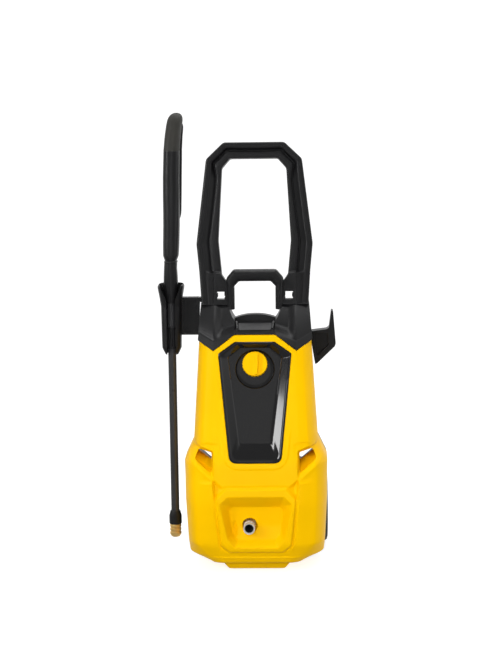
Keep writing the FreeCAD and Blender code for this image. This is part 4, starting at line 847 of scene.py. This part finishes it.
SHOULDER_EDGE = [(56, 541.6), (52, 528), (47, 516), (41.2, 507), (41.2, 485.2), (84, 453.2),
                 (116.6, 471), (111.2, 541.6)]
SHOULDER_RADII = [4, 6, 6, 3, 0, 1.2, 3, 0]
RIDGE_X, SHOULDER_TOP_Z, SHOULDER_TOP_Y = 84.0, 541.0, 47.0
LIP_TOP = [(41, 487), (52, 482), (84, 469.5), (118, 486)]
LIP_FOOT = [(41, 485), (84, 453), (118, 471.5)]


def shoulder_front(x, z):
    """The depth of a shoulder's front: a lip below, a ridge that falls back, and a scooped inner side."""
    lip_top = np.interp(x, *zip(*LIP_TOP))
    lip_foot = np.interp(x, *zip(*LIP_FOOT))
    casing_y = CASING[0][-1] - PANEL_SLOPE * (TOP_Z - lip_foot)
    outer = np.clip(x - RIDGE_X, 0, None)
    foot_y = casing_y - 1.6 + 0.62 * outer
    in_lip = np.clip((z - lip_foot) / np.maximum(lip_top - lip_foot, 1.5), 0, 1)
    lip_y = foot_y + in_lip * (2 + 0.52 * (lip_top - lip_foot))
    rise = np.clip((z - lip_top) / (SHOULDER_TOP_Z - lip_top), 0, 1)
    ridge = (SHOULDER_TOP_Y - foot_y + 0.28 * outer) * (0.22 * rise + 0.78 * rise ** 1.45)
    inner = np.clip((84.5 - x) / 43, 0, 1)
    bowl = smooth(inner * 2.3) * smooth(rise * 3.2 + 0.05) * (20 - 12 * rise)
    step = 1.2 * smooth((z - lip_top) / 1.6)
    above = z > lip_top
    return np.where(above, lip_y + step + np.maximum(ridge * 0.92, 0) + bowl, lip_y)


def shoulder(sign):
    gap = detail(2.6, 1.3)
    x, z = np.meshgrid(np.arange(38, 120, gap), np.arange(448, 545, gap))
    block = relief_block("shoulder_form", sign * x, shoulder_front(x, z), z, 1, 92)
    edge = rounded(flipped(SHOULDER_EDGE, sign), SHOULDER_RADII)
    carve(block, prism("edge", edge, -60, 100), "INTERSECT")
    finish_smooth(block, "black_plastic", "chassis", ["shoulder_left" if sign < 0 else "shoulder_right"], 22)


ARCH = [
    # outer x, z, inner x, z
    (56.5, 528, 42, 528), (57.2, 574, 42, 571), (59, 591, 42.4, 575.5), (44, 609, 32.5, 586),
    (0, 609, 0, 586),
]
ARCH_FRONT_Y = 46.0
SOCKET_PLATE = [(84.3, 603.5), (68.4, 599.5), (61, 588.5), (55, 582), (55, 538), (84.3, 538)]
SOCKET = [(62.6, 548.6), (62.6, 552.5), (61.4, 553), (61.4, 556), (62.6, 556.5), (62.6, 564.7), (77.8, 564.7),
          (77.8, 560), (76, 560), (76, 553.6), (77.8, 553.6), (77.8, 548.6)]


def carry_grip():
    """A squared arch, and on each side a plate with a keyed square socket, which leans as the handle does."""
    right = in_steps(ARCH, 2.5)
    path = np.vstack([right, right[-2::-1] * np.array([-1, 1, -1, 1])])
    for _ in range(2):
        path = softened(path)
    verts = []
    for outer_x, outer_z, inner_x, inner_z in path:
        width = math.hypot(outer_x - inner_x, outer_z - inner_z)
        section = [(0, 27), (0, 5.6), (0.4, 4.6), (4.4, 0.5), (5.2, 0.2), (width - 6.4, 0),
                   (width - 5.4, 0.5), (width - 0.5, 5.8), (width, 7), (width, 23), (width - 1, 25),
                   (width - 4, 28), (4, 28), (1, 27.8)]
        for reach, depth in section:
            f = reach / width
            x, z = outer_x + (inner_x - outer_x) * f, outer_z + (inner_z - outer_z) * f
            verts.append((x, ARCH_FRONT_Y + depth, z))
    arch = build("arch", verts, tube_faces(len(path), len(section)))
    for sign in (-1, 1):
        plate = prism("plate", flipped(SOCKET_PLATE, sign), 49.5, 70)
        for v in plate.data.vertices:
            v.co.y += HANDLE_SLOPE * max(v.co.z - SHOULDER_TOP_Z * MM, 0)
        carve(plate, prism("socket", flipped(SOCKET, sign), 20, 120))
        carve(arch, plate, "UNION")
    finish_smooth(arch, "black_plastic", "chassis", ["carry_grip"], 38)
    bevel = arch.modifiers.new("bevel", "BEVEL")
    bevel.width, bevel.segments = 0.6 * MM, 2
    bevel.limit_method, bevel.angle_limit = "ANGLE", math.radians(50)


TRAY_Z, WELL_Z, HOOD_Z = 491.5, 494.0, 516.0
TRAY_BACK_Y = 49.0


def cap_top(x, y):
    """The cap's height: a ribbed tray in front and an arched hood over a well behind."""
    side = np.abs(x)
    tray = TRAY_Z + 0.2 * np.clip(y, 0, 46)
    lip = 2.6 * smooth((2.5 - y) / 2)
    half = 31.5 + 0.06 * y
    rib = 4.2 * smooth((side - half) / 2.6) * smooth((50 - y) / 3)
    outside = -5 * smooth((side - half - 5.5) / 3) * smooth((50 - y) / 3)
    front = tray + lip + rib + outside
    arch = HOOD_Z - 9 * (side / 46) ** 2.2 - 7 * smooth((side - 44) / 12)
    rim_in, rim_out = smooth((y - 62) / 3), smooth((92.5 - y) / 7)
    behind = np.where(y > 60, arch - 2.5 * (1 - rim_out), WELL_Z) * rim_in + WELL_Z * (1 - rim_in)
    flank = smooth((side - 38 - 0.06 * y) / 2.5)
    low_sides = arch * flank + behind * (1 - flank)
    return np.where(y < TRAY_BACK_Y, front, np.minimum(low_sides, arch))


def top_cap():
    gap = detail(2.4, 1.2)
    x, y = np.meshgrid(np.arange(-56.4, 56.5, gap), np.arange(-3.2, 93, gap))
    cap = relief_block("cap_form", x, y, cap_top(x, y), 2, 471)
    plan = both_sides([(40.9, -3), (40.9, 48.5), (56.2, 48.5), (56.2, 91.5)])
    carve(cap, bar("plan", plan, 460, 530), "INTERSECT")
    carve(cap, prism("under", [(-60, 460), (60, 460), (60, 480.8), (-60, 480.8)], -10, TRAY_BACK_Y))
    carve(cap, prism("seat", [(-60, 480), (60, 480), (60, 484.3), (-60, 484.3)], -10, 14))
    finish_smooth(cap, "black_plastic", "chassis", ["top_cap"], 40)


# ---- holder for the gun
HOLDER = [
    # z, half width, front y, back y
    (434, 12.5, 50, 74), (437, 14.5, 48, 76), (449, 20, 43, 82), (470, 20.4, 43, 82.5),
    (536, 21, 42, 84), (556, 24, 38, 91), (572, 27, 34.5, 97.5), (577.5, 27.2, 34.2, 98),
    (580, 24.8, 37, 95),
]
FUNNEL = [(531, 15, 48, 80), (556, 20.5, 42, 88), (576, 24, 37.5, 94.5), (582, 24.5, 36.5, 95.5)]
SLIT = [(-9, 420), (9, 420), (9, 546), (11, 554), (20, 574), (24, 590), (-24, 590),
        (-20, 574), (-11, 554), (-9, 546)]
SLIT_RADII = [0, 0, 10, 10, 8, 0, 0, 8, 10, 10]


def holder_form(name, rows):
    """A form of rounded squares round the gun, one for each row of height, half width and two depths."""
    across, along = squared(full_turn(64), 2.0 / 3.2)
    rings = []
    for z, half, front, back in rows:
        plan = [GUN_X + half * across, (front + back) / 2 + (back - front) / 2 * along]
        rings.append(at_height(np.column_stack(plan), z))
    return build(name, np.vstack(rings), tube_faces(len(rings), 64))


def gun_holder():
    """A rounded channel with a funnel on top, open along its front, its foot drawn in."""
    z = np.linspace(HOLDER[0][0], HOLDER[-1][0], detail(40, 80))
    holder = holder_form("holder_form", zip(z, *table(HOLDER, z)))
    carve(holder, bar("channel", circle(GUN_X, BARREL_Y, 14.6, 48), 420.0, 540.0))
    carve(holder, holder_form("funnel", FUNNEL))
    slit = rounded([(GUN_X + x, z) for x, z in SLIT], SLIT_RADII)
    carve(holder, prism("slit", slit, 0.0, BARREL_Y))
    finish_smooth(holder, "black_plastic", "chassis", ["gun_holder"], 44)


def side_fittings():
    """The holder's bracket, a slit short of the shoulder, and the hook for the wound hose."""
    plate = [(-158, 474), (-117, 474), (-114.4, 541), (-116, 552), (-158, 552)]
    arm = prism("bracket_form", rounded(plate, [0, 1.5, 0, 2, 0]), 64, 82)
    sunk = rounded([(-148, 479), (-121, 479), (-119.5, 547), (-148, 547)], 2)
    carve(arm, prism("sunk", sunk, 50, 66.5))
    neck = prism("neck", [(-118, 542.5), (-109, 542.5), (-109, 551.5), (-118, 551.5)], 64, 82)
    carve(arm, neck, "UNION")
    finish_piece(arm, "black_plastic", "chassis", ["holder_bracket"])
    soften(arm, 0.9)

    outline = [(116.4, 478), (112.5, 474), (117.6, 440), (123, 408), (128, 410.5), (164.5, 446),
               (166, 452), (160.6, 520.7), (156.6, 520.7), (152.8, 492), (151.6, 484.5), (146, 481.5)]
    hook = prism("hook_form", rounded(outline, [3, 0, 3, 4, 4, 5, 4, 2.2, 2.2, 8, 5, 5]), 76, 104)
    pocket = rounded([(124, 474), (121.5, 470), (126, 425), (151, 449), (148.5, 474)], 3)
    for y0, y1 in ((70, 83), (97, 110)):
        carve(hook, prism("pocket", pocket, y0, y1))
    finish_piece(hook, "black_plastic", "chassis", ["accessory_hook"])
    soften(hook, 1)


def turned(name, profile, slot, nodes):
    """A closed profile of radii and depths, turned about the outlet's axis."""
    rings = [at_depth(circle(OUTLET_X, OUTLET_Z, radius, 64), y) for radius, y in profile]
    piece = build(name, np.vstack(rings), tube_faces(len(rings), 64, closed_path=True))
    finish_smooth(piece, slot, "chassis", nodes, 35)


def outlet():
    """The threaded outlet: a turned nose with a chamfered bore, thread rings and a collar behind."""
    core, crest, bore, back, pitch = 10.4, 11.9, 8.8, -14, 2.5
    profile = [(bore, back), (bore, -72.6), (9.8, -74), (11.2, -74.4), (crest, -73.6), (crest, -68),
               (core, -67.2)]
    for k in range(6):
        y = -65.6 + pitch * k
        profile += [(core, y), (crest, y + 0.5), (crest, y + 1), (core, y + 1.5)]
    profile += [(core, -22.5), (12.6, -22), (12.6, back)]
    turned("outlet_form", profile, "outlet_metal", ["outlet_connector"])

    # the dark cone seat inside the nose
    seat = [(3, -16), (3, -48), (7.6, -71.2), (8.7, -71.2), (8.7, -16)]
    turned("outlet_seat", seat, "rubber", [])


# ---- studio
BRIGHT_SIDE, DIM_WALL, BRIGHT_WALL = (0.38, 0.9, 0.2), 0.19, 1.02
WHITE = (1.0, 1.0, 1.0, 1.0)
FLOOR_GLOW, BACKDROP_GLOW = 0.76, 1.0
FLOOR_HALF, DRUM_R = 60.0, 40.0


def bright_sky(world):
    """Even white light that fades from the bright side of the room to the dim wall."""
    world.use_nodes = True
    nodes, links = world.node_tree.nodes, world.node_tree.links
    background = nodes["Background"]
    place = nodes.new("ShaderNodeTexCoord")
    towards = nodes.new("ShaderNodeVectorMath")
    towards.operation = "DOT_PRODUCT"
    towards.inputs[1].default_value = BRIGHT_SIDE
    links.new(place.outputs["Generated"], towards.inputs[0])
    sweep = nodes.new("ShaderNodeMapRange")
    links.new(towards.outputs["Value"], sweep.inputs["Value"])
    for key, value in (("From Min", -0.35), ("From Max", 0.4), ("To Min", DIM_WALL), ("To Max", BRIGHT_WALL)):
        sweep.inputs[key].default_value = value
    links.new(sweep.outputs["Result"], background.inputs["Strength"])
    background.inputs["Color"].default_value = WHITE


def paper(name, scale, glow):
    """Pale paper with a faint cloud in it, which shines by itself."""
    t = Tree(name)
    tone = t.remap(t.noise(scale, 3.0), 0.0, 1.0)
    t.set(t.shader.inputs["Base Color"], t.mix(tone, (0.49, 0.49, 0.49, 1), (0.52, 0.52, 0.52, 1)))
    t.shader.inputs["Emission Color"].default_value = WHITE
    t.shader.inputs["Emission Strength"].default_value = glow
    return t


def stand(name, verts, faces, material):
    """A piece of the room, in metres, that neither colours nor is mirrored in the washer."""
    mesh = bpy.data.meshes.new(name)
    mesh.from_pydata(verts, [], faces)
    mesh.materials.append(material)
    obj = bpy.data.objects.new(name, mesh)
    bpy.context.scene.collection.objects.link(obj)
    obj.visible_diffuse = False
    obj.visible_glossy = False


def area(name, place, aim, size_x, size_y, power, mirrored=True):
    light = bpy.data.lights.new(name, "AREA")
    light.shape = "RECTANGLE"
    light.size, light.size_y, light.energy = size_x, size_y, power
    obj = bpy.data.objects.new(name, light)
    obj.location = place
    obj.rotation_euler = (Vector(aim) - Vector(place)).to_track_quat("-Z", "Y").to_euler()
    obj.visible_glossy = mirrored
    bpy.context.scene.collection.objects.link(obj)


def studio():
    scene = bpy.context.scene
    scene.view_settings.view_transform = "Standard"
    scene.view_settings.look = "None"
    scene.view_settings.exposure = 0.0
    scene.world = bpy.data.worlds.new("studio")
    bright_sky(scene.world)

    floor = paper("floor_paper", 3.0, FLOOR_GLOW)
    floor.set(floor.shader.inputs["Roughness"], floor.remap(floor.noise(20.0), 0.7, 0.85))
    floor.shader.inputs["Specular IOR Level"].default_value = 0.2
    corners = [(-FLOOR_HALF, -FLOOR_HALF, 0), (FLOOR_HALF, -FLOOR_HALF, 0), (FLOOR_HALF, FLOOR_HALF, 0),
               (-FLOOR_HALF, FLOOR_HALF, 0)]
    stand("floor", corners, [(0, 1, 2, 3)], floor.material)
    drum = [(x, y, z) for z in (-1.0, 60.0) for x, y in circle(0.0, 0.0, DRUM_R, 48)]
    backdrop = paper("backdrop_paper", 2.0, BACKDROP_GLOW)
    stand("backdrop", drum, tube_faces(2, 48, closed_ends=False), backdrop.material)

    area("key", (-1.9, -1.5, 1.35), (0, 0, 0.45), 0.55, 1.7, 25.0)
    area("front_fill", (-0.4, -2.9, 1.5), (0, 0, 0.35), 1.3, 1.3, 33.0, mirrored=False)
    area("low_fill", (0.0, -2.3, 0.22), (0, 0, 0.2), 1.8, 0.36, 19.0, mirrored=False)
    area("card", (0.35, -2.9, 1.15), (0, 0, 0.35), 1.5, 0.9, 0.95)
    area("top", (0.1, 0.2, 2.3), (0, 0, 0.4), 1.2, 1.2, 11.0)
    area("right_edge", (1.9, 0.3, 0.9), (0, 0, 0.5), 0.5, 1.6, 3.5)


def camera():
    """The camera stands in front, a little to the right and above, and leans a touch to one side."""
    distance, height, yaw, roll = 3.2, 1.0, math.radians(1.5), math.radians(0.7)
    aim = Vector((-0.0075, 0.0, 0.484))
    place = Vector((distance * math.sin(yaw), -distance * math.cos(yaw), height))
    ahead = (aim - place).normalized()
    right = ahead.cross(Vector((0, 0, 1))).normalized()
    up = right.cross(ahead)
    right, up = right * math.cos(roll) - up * math.sin(roll), right * math.sin(roll) + up * math.cos(roll)
    data = bpy.data.cameras.new("camera")
    data.sensor_fit = "AUTO"
    data.sensor_width = 36.0
    data.lens = 86.0987
    obj = bpy.data.objects.new("camera", data)
    turn = Matrix((right, up, -ahead)).transposed().to_4x4()
    obj.matrix_world = Matrix.Translation(place) @ turn
    bpy.context.scene.collection.objects.link(obj)
    bpy.context.scene.camera = obj


front_casing()
control_panel()
handle_half("handle_front_form", True)
handle_half("handle_back_form", False)
gun()
for side in (-1, 1):
    shoulder(side)
carry_grip()
top_cap()
gun_holder()
side_fittings()
outlet()
studio()
camera()
